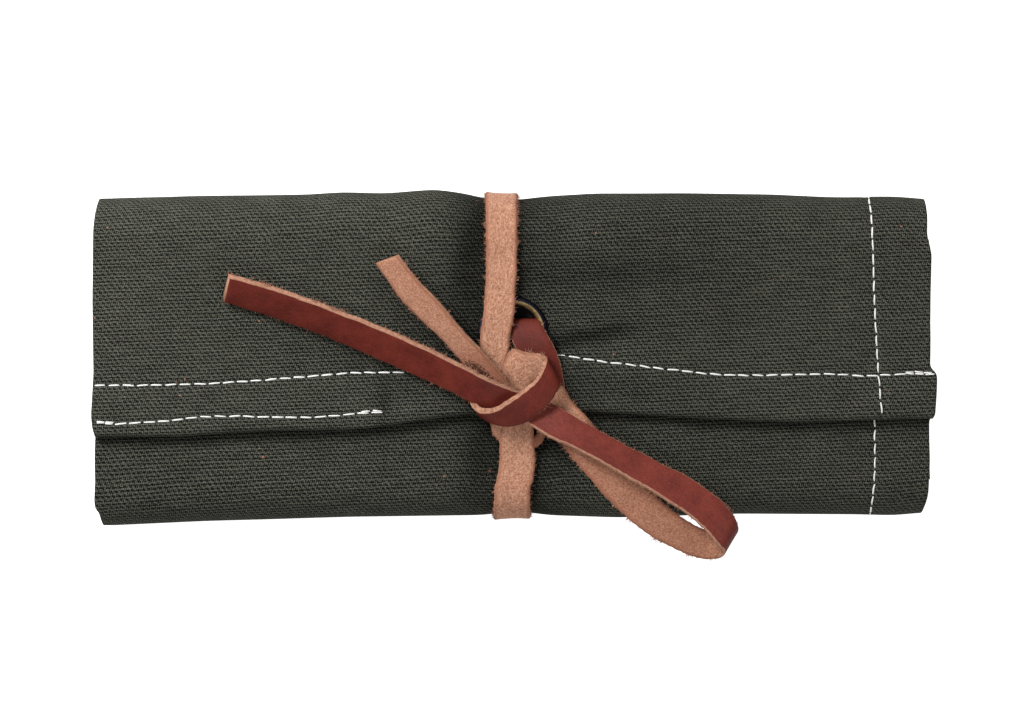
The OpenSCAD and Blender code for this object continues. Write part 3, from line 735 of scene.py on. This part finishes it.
def inner_turn_canvas():
    """The rolled-in end: the inner fold and the tongue."""
    x = COLUMNS
    reach = INNER_TURN + INNER_Y - TONGUE_END
    s = np.concatenate([np.linspace(0, INNER_TURN, 18), np.linspace(INNER_TURN, reach, 50)[1:]])
    s = s[:, None] + 0 * x
    lie = 0.25 * ripple(x, s, 40, 21)
    peek_left = lambda at: -119.2 - 0.35 * np.sin(at * 0.16)
    peek_right = lambda at: 119.6 + 0.3 * np.sin(at * 0.13 + 1)
    item = panel("inner_turn_canvas", INNER_LEGS, s, PANEL_T / 2 + lie, PANEL_T / 2 - lie,
                 (peek_left, peek_right), "front", [CANVAS, LINING], True, lambda s: -230 - s)
    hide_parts("inner_fold_outer_ply", "inner_fold_inner_ply", "tongue_outer_ply", "tongue_inner_ply")
    return item


# Lace

# Section of the lace, round from its left edge over the upper face, as (share of the half width, share
# of the thickness)
SECTION = [(-1, 0.2), (-0.97, 0.38), (-0.9, 0.48), (-0.7, 0.5), (-0.35, 0.51), (0, 0.52), (0.35, 0.51),
           (0.7, 0.5), (0.9, 0.48), (0.97, 0.38), (1, 0.2), (1, -0.2), (0.97, -0.4), (0.9, -0.5),
           (0.45, -0.5), (0, -0.5), (-0.45, -0.5), (-0.9, -0.5), (-0.97, -0.4), (-1, -0.2)]
UPPER_FACES, LOWER_FACES = range(1, 9), range(12, 18)
# Places in LACE_FINISHES for the upper and the lower face
GRAIN_UP, FLESH_UP = (0, 1), (1, 0)
RAW_EDGE = 2


def smooth_rows(rows, steps=9):
    """Rows of numbers joined by a smooth curve."""
    rows = np.array(rows, float)
    padded = np.vstack([2 * rows[0] - rows[1], rows, 2 * rows[-1] - rows[-2]])
    a, b, c, d = padded[:-3, None], padded[1:-2, None], padded[2:-1, None], padded[3:, None]
    t = (np.arange(steps) / steps)[None, :, None]
    curve = 0.5 * (2 * b + (c - a) * t + (2 * a - 5 * b + 4 * c - d) * t ** 2
                   + (3 * b - a - 3 * c + d) * t ** 3)
    return np.vstack([curve.reshape(-1, rows.shape[1]), rows[-1]])


def unit(v):
    """Directions of length 1."""
    return v / np.linalg.norm(v, axis=-1, keepdims=True)


def from_edges(rows):
    """(middle, half width) rows from rows of a left and a right edge point."""
    rows = np.array(rows, float)
    return np.hstack([(rows[:, :3] + rows[:, 3:]) / 2, (rows[:, 3:] - rows[:, :3]) / 2])


def round_fold(centre_y, centre_z, radius, angles, x, half_width):
    """Rows of a strap round a fold, at angles from straight down towards +Y, in degrees."""
    return [(x, centre_y + radius * math.sin(math.radians(a)), centre_z - radius * math.cos(math.radians(a)),
             half_width, 0, 0) for a in angles]


def strap(rows, up, seed, thick=LACE_T, skive=(0, 0), seen=1, bevel=0, dim=None):
    """A stretch of lace along its rows: its mesh parts, and its two edges for the loose fibres.

    skive is how far the left and the right edge are pared on the face that is seen (1 up, -1 down), bevel
    the same at the end, and the last argument, of (middle, height), the painted light, shade and tone: the
    share of the light that the leather's colour keeps.
    """
    curve = smooth_rows(rows)
    middle, side = curve[:, :3], curve[:, 3:]
    travel = unit(np.gradient(middle, axis=0))
    length = np.concatenate([[0], np.cumsum(np.linalg.norm(np.diff(middle, axis=0), axis=1))])
    normal = unit(np.cross(travel, side))
    half = np.linalg.norm(side, axis=1)
    wobble = [0.11 * ripple(length, 0 * length, 1.7, seed + k)
              + 0.12 * ripple(length, 0 * length, 9, seed + 9 + k) for k in (0, 1)]
    points, lay, faces, slots = [], [], [], []
    for i in range(len(middle)):
        for a, b in SECTION:
            edge = int(a > 0)
            worn = max(0.0, seen * b + 0.5)
            cut = skive[edge] * worn if abs(a) > 0.85 else 0.0
            across = a * (1 + wobble[edge][i] / half[i]) - np.sign(a) * cut / half[i]
            lift = 0.05 * math.sin(length[i] * 0.9 + seed) * abs(a) ** 2
            back = bevel * worn if i == len(middle) - 1 else 0.0
            points.append(middle[i] + side[i] * across + normal[i] * (b * thick + lift) - travel[i] * back)
            lay.append((a * 5, length[i] + seed * LAY_APART, dim(middle[i], b) if dim else 1.0))
    n = len(SECTION)
    rims = {(1, 0): 1, (1, 1): 8, (-1, 0): 17, (-1, 1): 12}
    rims = [rims[seen, edge] for edge in (0, 1) if skive[edge]]
    for i in range(len(middle) - 1):
        for k in range(n):
            m = (k + 1) % n
            faces.append((i * n + k, i * n + n + k, i * n + n + m, i * n + m))
            slots.append(RAW_EDGE if k in rims else up[0] if k in UPPER_FACES
                         else up[1] if k in LOWER_FACES else RAW_EDGE)
    faces += [tuple(range(n)), tuple(len(points) - 1 - k for k in range(n))]
    slots += [RAW_EDGE] * 2
    points = np.array(points)
    edges = [(middle + s * side, s * unit(side), normal, travel) for s in (-1, 1)]
    return (points, faces, slots, lay), edges


def fibres(edges, count, seed, least, most, second, tilt=0.25):
    """Loose fibres, some in tufts, that stand out from the cut edges of a strap: most of them are between
    least and most long, and second is the share of the tufts on the right edge."""
    dice = random.Random(seed)
    points, faces, slots, lay = [], [], [], []
    for _ in range(count):
        if not points or dice.random() < 0.4:
            edge, outward, normal, travel = edges[int(dice.random() < second)]
            i = dice.randrange(1, len(edge) - 1)
            lean, rise = dice.uniform(-0.9, 0.9), dice.uniform(-0.35, 0.6) + tilt
        share = dice.random()
        root = edge[i] * (1 - share) + edge[i + 1] * share - outward[i] * 0.15
        root = root + normal[i] * dice.uniform(-0.45, 0.75)
        way = unit(outward[i] + travel[i] * (lean + dice.uniform(-0.25, 0.25)) + normal[i] * rise)
        curl = travel[i] * dice.uniform(-0.5, 0.5) + normal[i] * dice.uniform(-0.5, 0.3)
        reach = dice.uniform(least, most) * (0.6 + 0.9 * dice.random() ** 3)
        thick = dice.uniform(0.03, 0.065) * most
        broad = unit(np.cross(way, normal[i] + 0.01))
        high = np.cross(way, broad)
        first = len(points)
        for t in (0, 0.45, 0.8):
            spine = root + (way + curl * t * 0.6) * reach * t
            for turned in (0, 2.1, 4.2):
                off = broad * math.cos(turned) + high * math.sin(turned)
                points.append(spine + off * thick * (1.1 - t))
        points.append(root + (way + curl * 0.6) * reach)
        for k in range(3):
            m = (k + 1) % 3
            faces += [(first + k, first + m, first + 3 + m, first + 3 + k),
                      (first + 3 + k, first + 3 + m, first + 6 + m, first + 6 + k),
                      (first + 6 + k, first + 6 + m, first + 9)]
        slots += [RAW_EDGE] * 9
        lay += [(p[0], p[1], 1.0) for p in points[first:]]
    return points, faces, slots, lay


def lace(name, rows, up, seed, nodes, body=None, hairs=0, slot="lace_grain", fray=(0.35, 1.6, 0.5), **form):
    """A stretch of the lace as a piece, settled on the canvas, in place of its CAD nodes."""
    mesh, edges = strap(rows, up, seed, **form)
    points, faces, slots, lay = joined(mesh, fibres(edges, hairs, seed, *fray)) if hairs else mesh
    item = piece(name, settled(np.array(points)), faces, LACE_FINISHES, slots, lay, body)
    if nodes:
        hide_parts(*nodes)
    return item


def lace_round_the_roll():
    """The lace over the top fold, under the roll and up the front."""
    seat, front_seat = FLAP_TOP - VALLEY + LACE_T / 2, FRONT_TOP - VALLEY + LACE_T / 2
    back_seat = VALLEY - LACE_T / 2 + 0.05
    top_r, low_r = seat - TOP_Z, front_seat - BOTTOM_Z
    over = lace("lace_over_flap", round_fold(TOP_Y, TOP_Z, top_r, range(90, 181, 10), -3, 4.45) + [
        (-2.95, 30, seat, 4.4, 0, 0), (-3, 24, 25.5, 4.4, 0, 0), (-3.3, 19.7, 26.0, 4.4, 0, 0),
        (-3.7, 12.6, 27.1, 4.43, 0, 0), (-4.7, 6.3, 27.3, 4.3, 0, 0), (-4.9, 2.3, 27.3, 4.2, 0.2, 0),
        (-6.2, -2.6, 27.0, 4.3, 0.6, 0), (-7.4, -6.4, 26.8, 4.3, 0.9, 0)],
        FLESH_UP, 11, ["lace_upper_run", "lace_top_edge"], hairs=800, slot="lace_flesh")
    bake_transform(over)
    back = [(x, y, back_seat, 4.9, 0, 0) for x, y in
            ((-2.7, 28), (-2, 14), (-1.2, 0), (-0.6, -14), (-0.1, -27.9))]
    under = lace("lace_under_back", round_fold(TOP_Y, TOP_Z, top_r, range(90, -1, -10), -3, 4.7) + back,
                 GRAIN_UP[::-1], 12, ["lace_back_run"], hairs=120)
    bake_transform(under)
    front = [(0.85, BOTTOM_Y, front_seat, 5.2, 0, 0), (1.5, -31, 21.7, 5.15, 0, 0),
             (1.55, -28.5, 22.0, 5.1, 0, 0), (1.3, -24.5, 22.9, 4.95, 0, 0), (1.4, -20.2, 23.7, 4.7, 0, 0),
             (1.5, -16.5, 24.4, 4.7, 0, 0)]
    rows = [(-0.1, -28.1, back_seat, 4.9, 0, 0)] + round_fold(
        BOTTOM_Y, BOTTOM_Z, low_r, range(0, -180, -12), 0, 5.2) + front
    up_front = lace("lace_up_front", rows, GRAIN_UP, 13, ["lace_lower_run"], hairs=380, slot="lace_flesh")
    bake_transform(up_front)


def grommet_strap():
    """The lace from under the flap, up through the grommet and down to the bow."""
    lace("lace_from_grommet", from_edges([
        (-4.7, 27, 21.6, 5.3, 27, 21.6), (-4.5, 18, 21.6, 5.2, 18, 21.6),
        (-2.0, 12.6, 21.4, 5.8, 12.6, 21.5), (-0.6, 10.5, 21.9, 7.0, 10.5, 21.9),
        (-0.6, 9.9, 24.6, 7.6, 9.9, 24.8), (-0.6, 7.6, 26.0, 8.9, 8.0, 26.2),
        (0.5, 3.6, 26.9, 10.9, 4.9, 27.2), (3.0, -0.6, 27.3, 12.9, 0.6, 27.5),
        (5.8, -6.0, 26.6, 14.3, -4.0, 26.6),
        (7.6, -10.6, 25.9, 15.0, -8.8, 25.9), (8.6, -12.4, 25.3, 15.1, -10.2, 25.3)]),
        GRAIN_UP, 21, ["lace_grommet_strap"], "flap", hairs=60, thick=1.4,
        # Painted shade: the strap's upper side is painted almost black where it dives into the grommet's
        # hole, and the whole strap is 0.84 as light
        dim=lambda p, b: 0.84 * (1 - 0.99 * step(9.8, 10.3, p[1]) * (b > 0)))


def wrap():
    """The band that goes over the knot and comes round under it."""
    lace("knot_wrap_band", from_edges([
        (-4.5, -7.5, 26.9, 2.0, -15.0, 26.6), (-2.4, -1.8, 27.6, 4.6, -9.5, 27.2),
        (0.0, 2.0, 28.3, 7.0, -6.8, 27.9), (4.4, 1.0, 29.2, 9.6, -6.9, 28.6),
        (7.5, 0.8, 30.2, 11.9, -7.4, 29.6), (8.9, -0.2, 31.6, 13.1, -8.0, 30.8),
        (8.9, -2.6, 32.9, 12.7, -10.1, 31.7), (7.3, -5.8, 33.7, 10.8, -13.1, 31.7),
        (4.0, -9.1, 34.0, 8.1, -15.8, 31.2), (-1.1, -12.6, 33.8, 3.2, -19.1, 29.9),
        (-5.2, -15.0, 32.6, -1.6, -19.8, 28.7), (-9.1, -15.3, 30.7, -6.7, -18.2, 27.0),
        (-11.5, -12.5, 28.6, -9.7, -14.9, 25.4), (-9.8, -9.4, 25.8, -6.8, -11.8, 24.4)]),
        GRAIN_UP, 22, ["knot_wrap"], "flap", hairs=420, skive=(0.32, 0))


def bow():
    """The one-sided bow: out along the canvas, round, and back over itself."""
    lace("bow_loop_strap", from_edges([
        (8.4, -12.0, 26.0, 14.7, -8.2, 26.0), (10.0, -18.2, 26.4, 17.4, -13.2, 26.4),
        (13.4, -24.2, 26.4, 22.0, -17.9, 26.4), (17.0, -29.0, 26.0, 25.4, -22.4, 26.0),
        (24.2, -37.4, 25.4, 32.2, -30.4, 25.4), (31.2, -44.6, 24.8, 38.8, -37.6, 24.8),
        (38.6, -50.8, 24.2, 45.2, -43.8, 24.2), (46.4, -55.3, 23.5, 51.6, -48.4, 23.5),
        (53.4, -58.4, 23.0, 57.6, -50.6, 23.0), (58.4, -58.5, 24.0, 63.0, -50.9, 24.4),
        (59.9, -56.6, 26.0, 64.2, -48.9, 26.6), (58.6, -54.8, 28.0, 62.8, -45.6, 28.6),
        (54.6, -49.8, 29.3, 59.0, -41.2, 29.6), (46.5, -43.2, 30.2, 50.8, -35.0, 29.6),
        (35.6, -36.3, 30.9, 40.4, -29.6, 29.6), (28.3, -32.3, 31.2, 32.0, -25.2, 29.8),
        (21.0, -28.1, 31.1, 24.6, -21.2, 29.8), (12.0, -24.0, 30.4, 16.4, -16.4, 29.4),
        (5.6, -20.4, 29.5, 10.2, -13.0, 28.8), (0.6, -17.4, 29.2, 4.8, -10.6, 29.2)]),
        FLESH_UP, 23, ["bow_loop"], "flap", hairs=700, skive=(0.35, 0), seen=-1,
        # Painted light: the whole strap 1.25 as light, with a painted sheen on its grain side, and painted
        # shade on its low stretch beyond x = 19, under the upper band
        dim=lambda p, b: 1.25 - 0.45 * step(28.5, 25.8, p[2]) * step(14, 19, p[0]))


def tails():
    """The tail that shows its smooth side and the one that shows its nap."""
    lace("tail_grain_side", from_edges([
        (0.0, -18.2, 28.4, 4.4, -10.4, 29.3), (-5.0, -16.2, 28.2, -0.6, -8.7, 30.9),
        (-11.4, -13.2, 28.5, -7.4, -5.9, 32.6), (-20.6, -8.5, 28.2, -17.0, -1.0, 32.9),
        (-36.4, -1.5, 27.6, -32.4, 6.2, 32.8), (-52.3, 5.4, 27.3, -49.0, 12.9, 32.6),
        (-68.4, 11.2, 27.4, -65.4, 18.9, 32.6), (-82.8, 15.8, 27.9, -80.9, 23.4, 32.9)]),
        FLESH_UP, 24, ["grain_tail"], "flap", hairs=900, skive=(0, 0.35), seen=-1, bevel=0.8, thick=1.5,
        # Darker towards its far end
        dim=lambda p, b: 1 - 0.12 * step(-40, -66, p[0]))
    lace("tail_flesh_side", from_edges([
        (-5.5, -12.4, 27.4, 1.2, -10.0, 28.6), (-9.2, -8.2, 29.0, -3.4, -4.5, 31.2),
        (-13.8, -2.2, 29.6, -6.9, -0.2, 32.4),
        (-19.4, 4.4, 29.0, -13.2, 6.2, 32.6), (-26.9, 11.5, 28.6, -20.0, 14.4, 32.2),
        (-32.2, 17.2, 28.4, -26.6, 21.4, 31.8), (-38.6, 26.6, 28.4, -32.4, 28.7, 31.6)]),
        GRAIN_UP, FLESH_TAIL, ["flesh_tail"], "flap", hairs=560, slot="lace_flesh", fray=(0.35, 2.1, 0.12),
        # 0.88 as light, and darker where it nears the knot
        dim=lambda p, b: 0.88 - 0.2 * (1 - step(-5, 6, p[1])))


def hitch():
    """The bend of lace round the run that comes up the front."""
    lace("knot_hitch_band", from_edges([
        (-6.6, -15.2, 24.4, -1.4, -15.8, 25.4), (-6.2, -19.4, 23.8, -1.4, -19.4, 24.6),
        (-4.9, -23.0, 22.8, 0.4, -20.6, 23.0), (-1.6, -25.4, 22.0, 2.2, -21.4, 22.0),
        (3.4, -26.6, 21.9, 3.4, -21.8, 21.9), (7.6, -25.6, 22.6, 6.3, -23.0, 23.2),
        (9.5, -22.4, 23.4, 7.7, -21.4, 24.4), (9.8, -18.6, 24.2, 8.0, -18.6, 24.9)]),
        FLESH_UP, 26, ["knot_hitch"], "front", hairs=60, slot="lace_flesh", thick=1.3,
        # Painted shade in the curl on its right side
        dim=lambda p, b: 0.95 - 0.35 * step(3, 7, p[0]))


# Metal and thread

def turned(name, profile, centre, finishes, body, nodes, steps=128):
    """A ring turned from a profile of (radius, height), closed on itself."""
    points, faces, lay, n = [], [], [], len(profile)
    for i in range(steps):
        a = 2 * math.pi * i / steps
        for r, z in profile:
            points.append((centre[0] + r * math.cos(a), centre[1] + r * math.sin(a), z))
            lay.append((r, a * 9, z))
    for i in range(steps):
        j = (i + 1) % steps
        faces += [(i * n + k, j * n + k, j * n + (k + 1) % n, i * n + (k + 1) % n) for k in range(n)]
    item = piece(name, settled(np.array(points)), faces, finishes, None, lay, body)
    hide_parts(*nodes)
    return item


def grommet():
    """The rolled flange with its barrel, and the washer under the flap."""
    seat, centre = FLAP_TOP + 0.15 - VALLEY, (GROMMET_X, GROMMET_Y)
    crest = [(8.85 + 1.25 * math.cos(a), seat + 0.02 + 1.15 * math.sin(a))
             for a in map(math.radians, range(-10, 191, 10))]
    barrel = [(7.7, seat - 0.5), (7.5, seat - 1.4), (7.45, 22.2), (7.8, 22.2), (7.9, seat - 1.2),
              (8.2, seat - 0.1)]
    turned("grommet_flange", crest + barrel, centre, [GROMMET], "flap", ["grommet_shell"])
    washer = [(7.6, 22.0), (9.2, 22.0), (9.4, 22.15), (9.4, 22.6), (9.2, 22.75), (7.6, 22.75)]
    turned("grommet_ring_under", washer, centre, [GROMMET], "flap", ["grommet_washer"])


def stitch(start, end, lift, radius, dice):
    """One stitch between two points on the canvas, with the outward direction there: both ends dive in."""
    along = end - start
    length = np.linalg.norm(along)
    along = along / length
    side = unit(np.cross(lift, along))
    slew = dice.uniform(-0.16, 0.16)
    points, lay = [], []
    for t, z, full in ((0.0, -0.3, 0.6), (0.08, 0.05, 0.85), (0.28, 0.22, 1.0), (0.5, 0.27, 1.05),
                       (0.72, 0.22, 1.0), (0.92, 0.05, 0.85), (1.0, -0.3, 0.6)):
        middle = start + along * length * t + lift * z + side * slew * (t - 0.5) * 2
        for k in range(8):
            a = k * math.pi / 4
            points.append(middle + (side * math.cos(a) * 1.08 + lift * math.sin(a) * 0.8) * radius * full)
            lay.append((t * length, k / 8, 0))
    faces = [(8 * i + k, 8 * i + (k + 1) % 8, 8 * i + 8 + (k + 1) % 8, 8 * i + 8 + k)
             for i in range(6) for k in range(8)]
    faces += [tuple(range(7, -1, -1)), tuple(range(48, 56))]
    return points, faces, [0] * len(faces), lay


def seam(name, line, body, nodes, pitch=4.08, gap=0.5, radius=0.22, seed=1, blend=None):
    """A row of stitches along a line, given as a function from a length to (point, outward direction)."""
    dice = random.Random(seed)
    place, length = line
    count = int(length / pitch)
    parts = []
    for i in range(count):
        a = i * pitch + dice.uniform(-0.12, 0.12)
        b = a + pitch - gap + dice.uniform(-0.15, 0.15)
        (start, lift), (end, _) = place(a), place(min(b, length))
        if np.linalg.norm(end - start) > 0.5:
            parts.append(stitch(start, end, lift, radius * dice.uniform(0.92, 1.08), dice))
    points, faces, slots, lay = joined(*parts)
    item = piece(name, points, faces, [THREAD], slots, lay, body)
    if nodes:
        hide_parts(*nodes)
    if blend:
        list(blend[:2])
        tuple(blend[2])
        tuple(blend[3])
        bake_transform(item)
    return item


def seam_line(surface, path, close=0.4):
    """A line on a surface through (x, s) points, as seam() takes it."""
    path = np.array(path, float)
    fine = np.concatenate([np.linspace(a, b, max(2, int(np.hypot(*(b - a)) / close)), endpoint=False)
                           for a, b in zip(path, path[1:])] + [path[-1:]])
    points = surface(fine[:, 0], fine[:, 1])
    ahead = surface(fine[:, 0] + 0.3, fine[:, 1]) - surface(fine[:, 0] - 0.3, fine[:, 1])
    onward = surface(fine[:, 0], fine[:, 1] + 0.3) - surface(fine[:, 0], fine[:, 1] - 0.3)
    lifts = unit(np.cross(onward, ahead))
    length = np.concatenate([[0], np.cumsum(np.linalg.norm(np.diff(points, axis=0), axis=1))])

    def place(at):
        point = np.array([np.interp(at, length, points[:, k]) for k in range(3)])
        lift = unit(np.array([np.interp(at, length, lifts[:, k]) for k in range(3)]))
        return point, lift
    return place, length[-1]


def on_flap(x, s):
    """Points on the flap's face."""
    return on_panel(FLAP_LEGS, x, s, flap_height(x, s), (FLAP_LEFT, FLAP_RIGHT))


def on_front(x, s):
    """The front's face, with s turned round so that its outward side comes first."""
    return on_panel(FRONT_LEGS, x, -s, front_height(x, -s), (FRONT_LEFT, FRONT_RIGHT))


def on_back(x, s):
    """The same for the back, a little inside its face."""
    y = walk(BACK_LEGS, -s)[0]
    return on_panel(BACK_LEGS, x, -s, PANEL_T / 2 - valley(x, y) - 0.3, (FLAP_LEFT, FLAP_RIGHT))


def before_placed(x, y, ends):
    """The column that placed() brings to x."""
    return x - (placed(x, y, *ends) - x)


def flap_s(y):
    """Length round the flap's middle at a place on its flat stretch."""
    return TOP_TURN + TOP_Y - y


def flap_row(line, x0, x1):
    """The path on the flap of a seam that follows a line."""
    return [(x, flap_s(line(x))) for x in np.arange(x0, x1, SEAM_STEP)]


def backtack(*places):
    """The path on the flap of a short row sewn over a seam's end."""
    return [(x, flap_s(y)) for x, y in places]


def flap_seams():
    """The hem's seam and the seam that closes the turning gap, with their backtacks."""
    for name, path, nodes, seed, form in (
            ("hem_stitches_left", flap_row(HEM_SEAM, -119.6, -10), ["hem_thread"], 31, {}),
            ("hem_stitches_right", flap_row(HEM_SEAM, 12.2, 113), [], 32, {}),
            ("hem_backtack", backtack((111.5, -4.7), (115, -4.4), (119.4, -4.9)), [], 33,
             {"pitch": 2.6, "gap": 0.1}),
            ("hem_backtack_return", backtack((119.5, -5.3), (115, -5.1), (110.5, -4.9)), [], 34,
             {"pitch": 2.9, "gap": 0.1}),
            ("closing_stitches", flap_row(CLOSING_SEAM, -113.5, -33.3), ["closing_thread"], 35, {}),
            ("closing_backtack", backtack((-118.5, -18.6), (-115.5, -19.4), (-112.6, -19.3)), [], 36,
             {"pitch": 2.4, "gap": 0.1, "radius": 0.3}),
            ("closing_backtack_return", backtack((-118.6, -19.1), (-116, -18.9), (-113.2, -18.9)), [], 51,
             {"pitch": 2.6, "gap": 0.1}),
            ("closing_backtack_end", backtack((-43.2, -15.9), (-39.6, -15.6), (-36.4, -15.7)), [], 52,
             {"pitch": 3.2, "gap": 0.4})):
        seam(name, seam_line(on_flap, path), "flap", nodes, seed=seed, **form)


def side_seams():
    """The side hem's seam, over the top fold, up round the bottom fold and along the back."""
    bend = [(walk(FLAP_LEGS, s)[0], s) for s in np.arange(0.3, TOP_TURN, SEAM_STEP)]
    bend += [(y, flap_s(y)) for y in np.arange(32, -20.5, -SEAM_STEP)]
    path = [(before_placed(FLAP_SIDE_SEAM(y), y, (FLAP_LEFT, FLAP_RIGHT)), s) for y, s in bend]
    seam("side_stitches_flap", seam_line(on_flap, path), None, ["flap_side_thread", "top_edge_side_thread"],
         pitch=SIDE_PITCH, seed=37, blend=("top_edge", "flap", *OVER_TOP))
    start = BACK_JOIN_Y - BOTTOM_Y
    bend = [(walk(FRONT_LEGS, s)[0], s) for s in np.arange(start + 2, start + BOTTOM_TURN + 62, SEAM_STEP)]
    path = [(before_placed(FRONT_SIDE_SEAM(y), y, (FRONT_LEFT, FRONT_RIGHT)), -s) for y, s in bend]
    seam("side_stitches_front", seam_line(on_front, path), None, ["front_side_thread"],
         pitch=SIDE_PITCH, seed=38, blend=("back", "front", *ROUND_BOTTOM))
    path = [(103.5, -s) for s in np.arange(TOP_TURN, TOP_TURN + TOP_Y - BACK_JOIN_Y - 1, SEAM_STEP)]
    seam("side_stitches_back", seam_line(on_back, path), "back", ["back_side_thread"],
         pitch=SIDE_PITCH, seed=39)


def sleeve_seams():
    """The two rows on the back that divide the plies into sleeves, each in two halves beside the lace."""
    for number, y in enumerate((-26.9, 29.0)):
        for half, (x0, x1) in enumerate(((-118, -22), (22, 102))):
            path = [(x, -flap_s(y)) for x in np.arange(x0, x1, SEAM_STEP)]
            seam(f"sleeve_stitches_{2 * number + half + 1}", seam_line(on_back, path), "back",
                 ["sleeve_seam_thread"] if not number and not half else [], seed=40 + number * 2 + half)


# Table, light and camera

def floor_finish():
    """A pale table that the camera sees as white, and that keeps the roll's shadow."""
    f = Finish("table", Base_Color=(0.82, 0.82, 0.82, 1), Roughness=0.9, Specular_IOR_Level=0.1)
    seen = f.add("ShaderNodeLightPath", out="Is Camera Ray")
    glossy = f.add("ShaderNodeLightPath", out="Is Glossy Ray")
    through = f.add("ShaderNodeLightPath", out="Is Transmission Ray")
    glow = f.add("ShaderNodeEmission", None, {"Color": (1, 1, 1, 1), "Strength": 0.86})
    both = f.add("ShaderNodeAddShader", None, [Value(f, f.shader.outputs[0]), glow])
    share = seen.math("MAXIMUM", glossy).math("MAXIMUM", through)
    mixed = f.add("ShaderNodeMixShader", None, [share, Value(f, f.shader.outputs[0]), both])
    out = next(n for n in f.tree.nodes if n.type == "OUTPUT_MATERIAL")
    f.tree.links.new(mixed.socket, out.inputs[0])
    return f.material


def lamp(name, place, size, power, target=(0, 0, 0.02)):
    """A round soft light that faces the target: metres and watts."""
    data = bpy.data.lights.new(name, "AREA")
    data.shape, data.size, data.energy = "DISK", size, power
    item = bpy.data.objects.new(name, data)
    item.location = place
    item.rotation_euler = (Vector(target) - Vector(place)).to_track_quat("-Z", "Y").to_euler()
    bpy.context.scene.collection.objects.link(item)


def studio():
    """The table, the soft light and the camera straight above."""
    reach = 6000
    floor = piece("table", [(-reach, -reach, 0), (reach, -reach, 0), (reach, reach, 0), (-reach, reach, 0)],
                  [(0, 1, 2, 3)], [floor_finish()], smooth=False)
    world = bpy.data.worlds.new("studio")
    bpy.context.scene.world = world
    world.use_nodes = True
    background = world.node_tree.nodes["Background"]
    background.inputs["Color"].default_value = (1, 1, 1, 1)
    background.inputs["Strength"].default_value = 0.325
    lamp("key_softbox", (-0.46, 0.44, 0.52), 0.34, 7.56)
    lamp("fill_softbox", (0.55, -0.8, 1.0), 0.8, 5.67)
    camera = bpy.data.cameras.new("camera")
    camera.sensor_width, camera.clip_end = 36, 50
    height = 4.0
    camera.lens = camera.sensor_width * height / (FRAME_WIDTH / PX_PER_MM * MM)
    view = bpy.data.objects.new("camera", camera)
    view.location = (0, 2 / PX_PER_MM * MM, height + 0.024)
    bpy.context.scene.collection.objects.link(view)
    bpy.context.scene.camera = view
    bpy.context.scene.view_settings.view_transform = "Standard"


studio()
flap_canvas()
back_canvas()
front_canvas()
inner_turn_canvas()
lace_round_the_roll()
grommet_strap()
wrap()
bow()
tails()
hitch()
grommet()
flap_seams()
side_seams()
sleeve_seams()
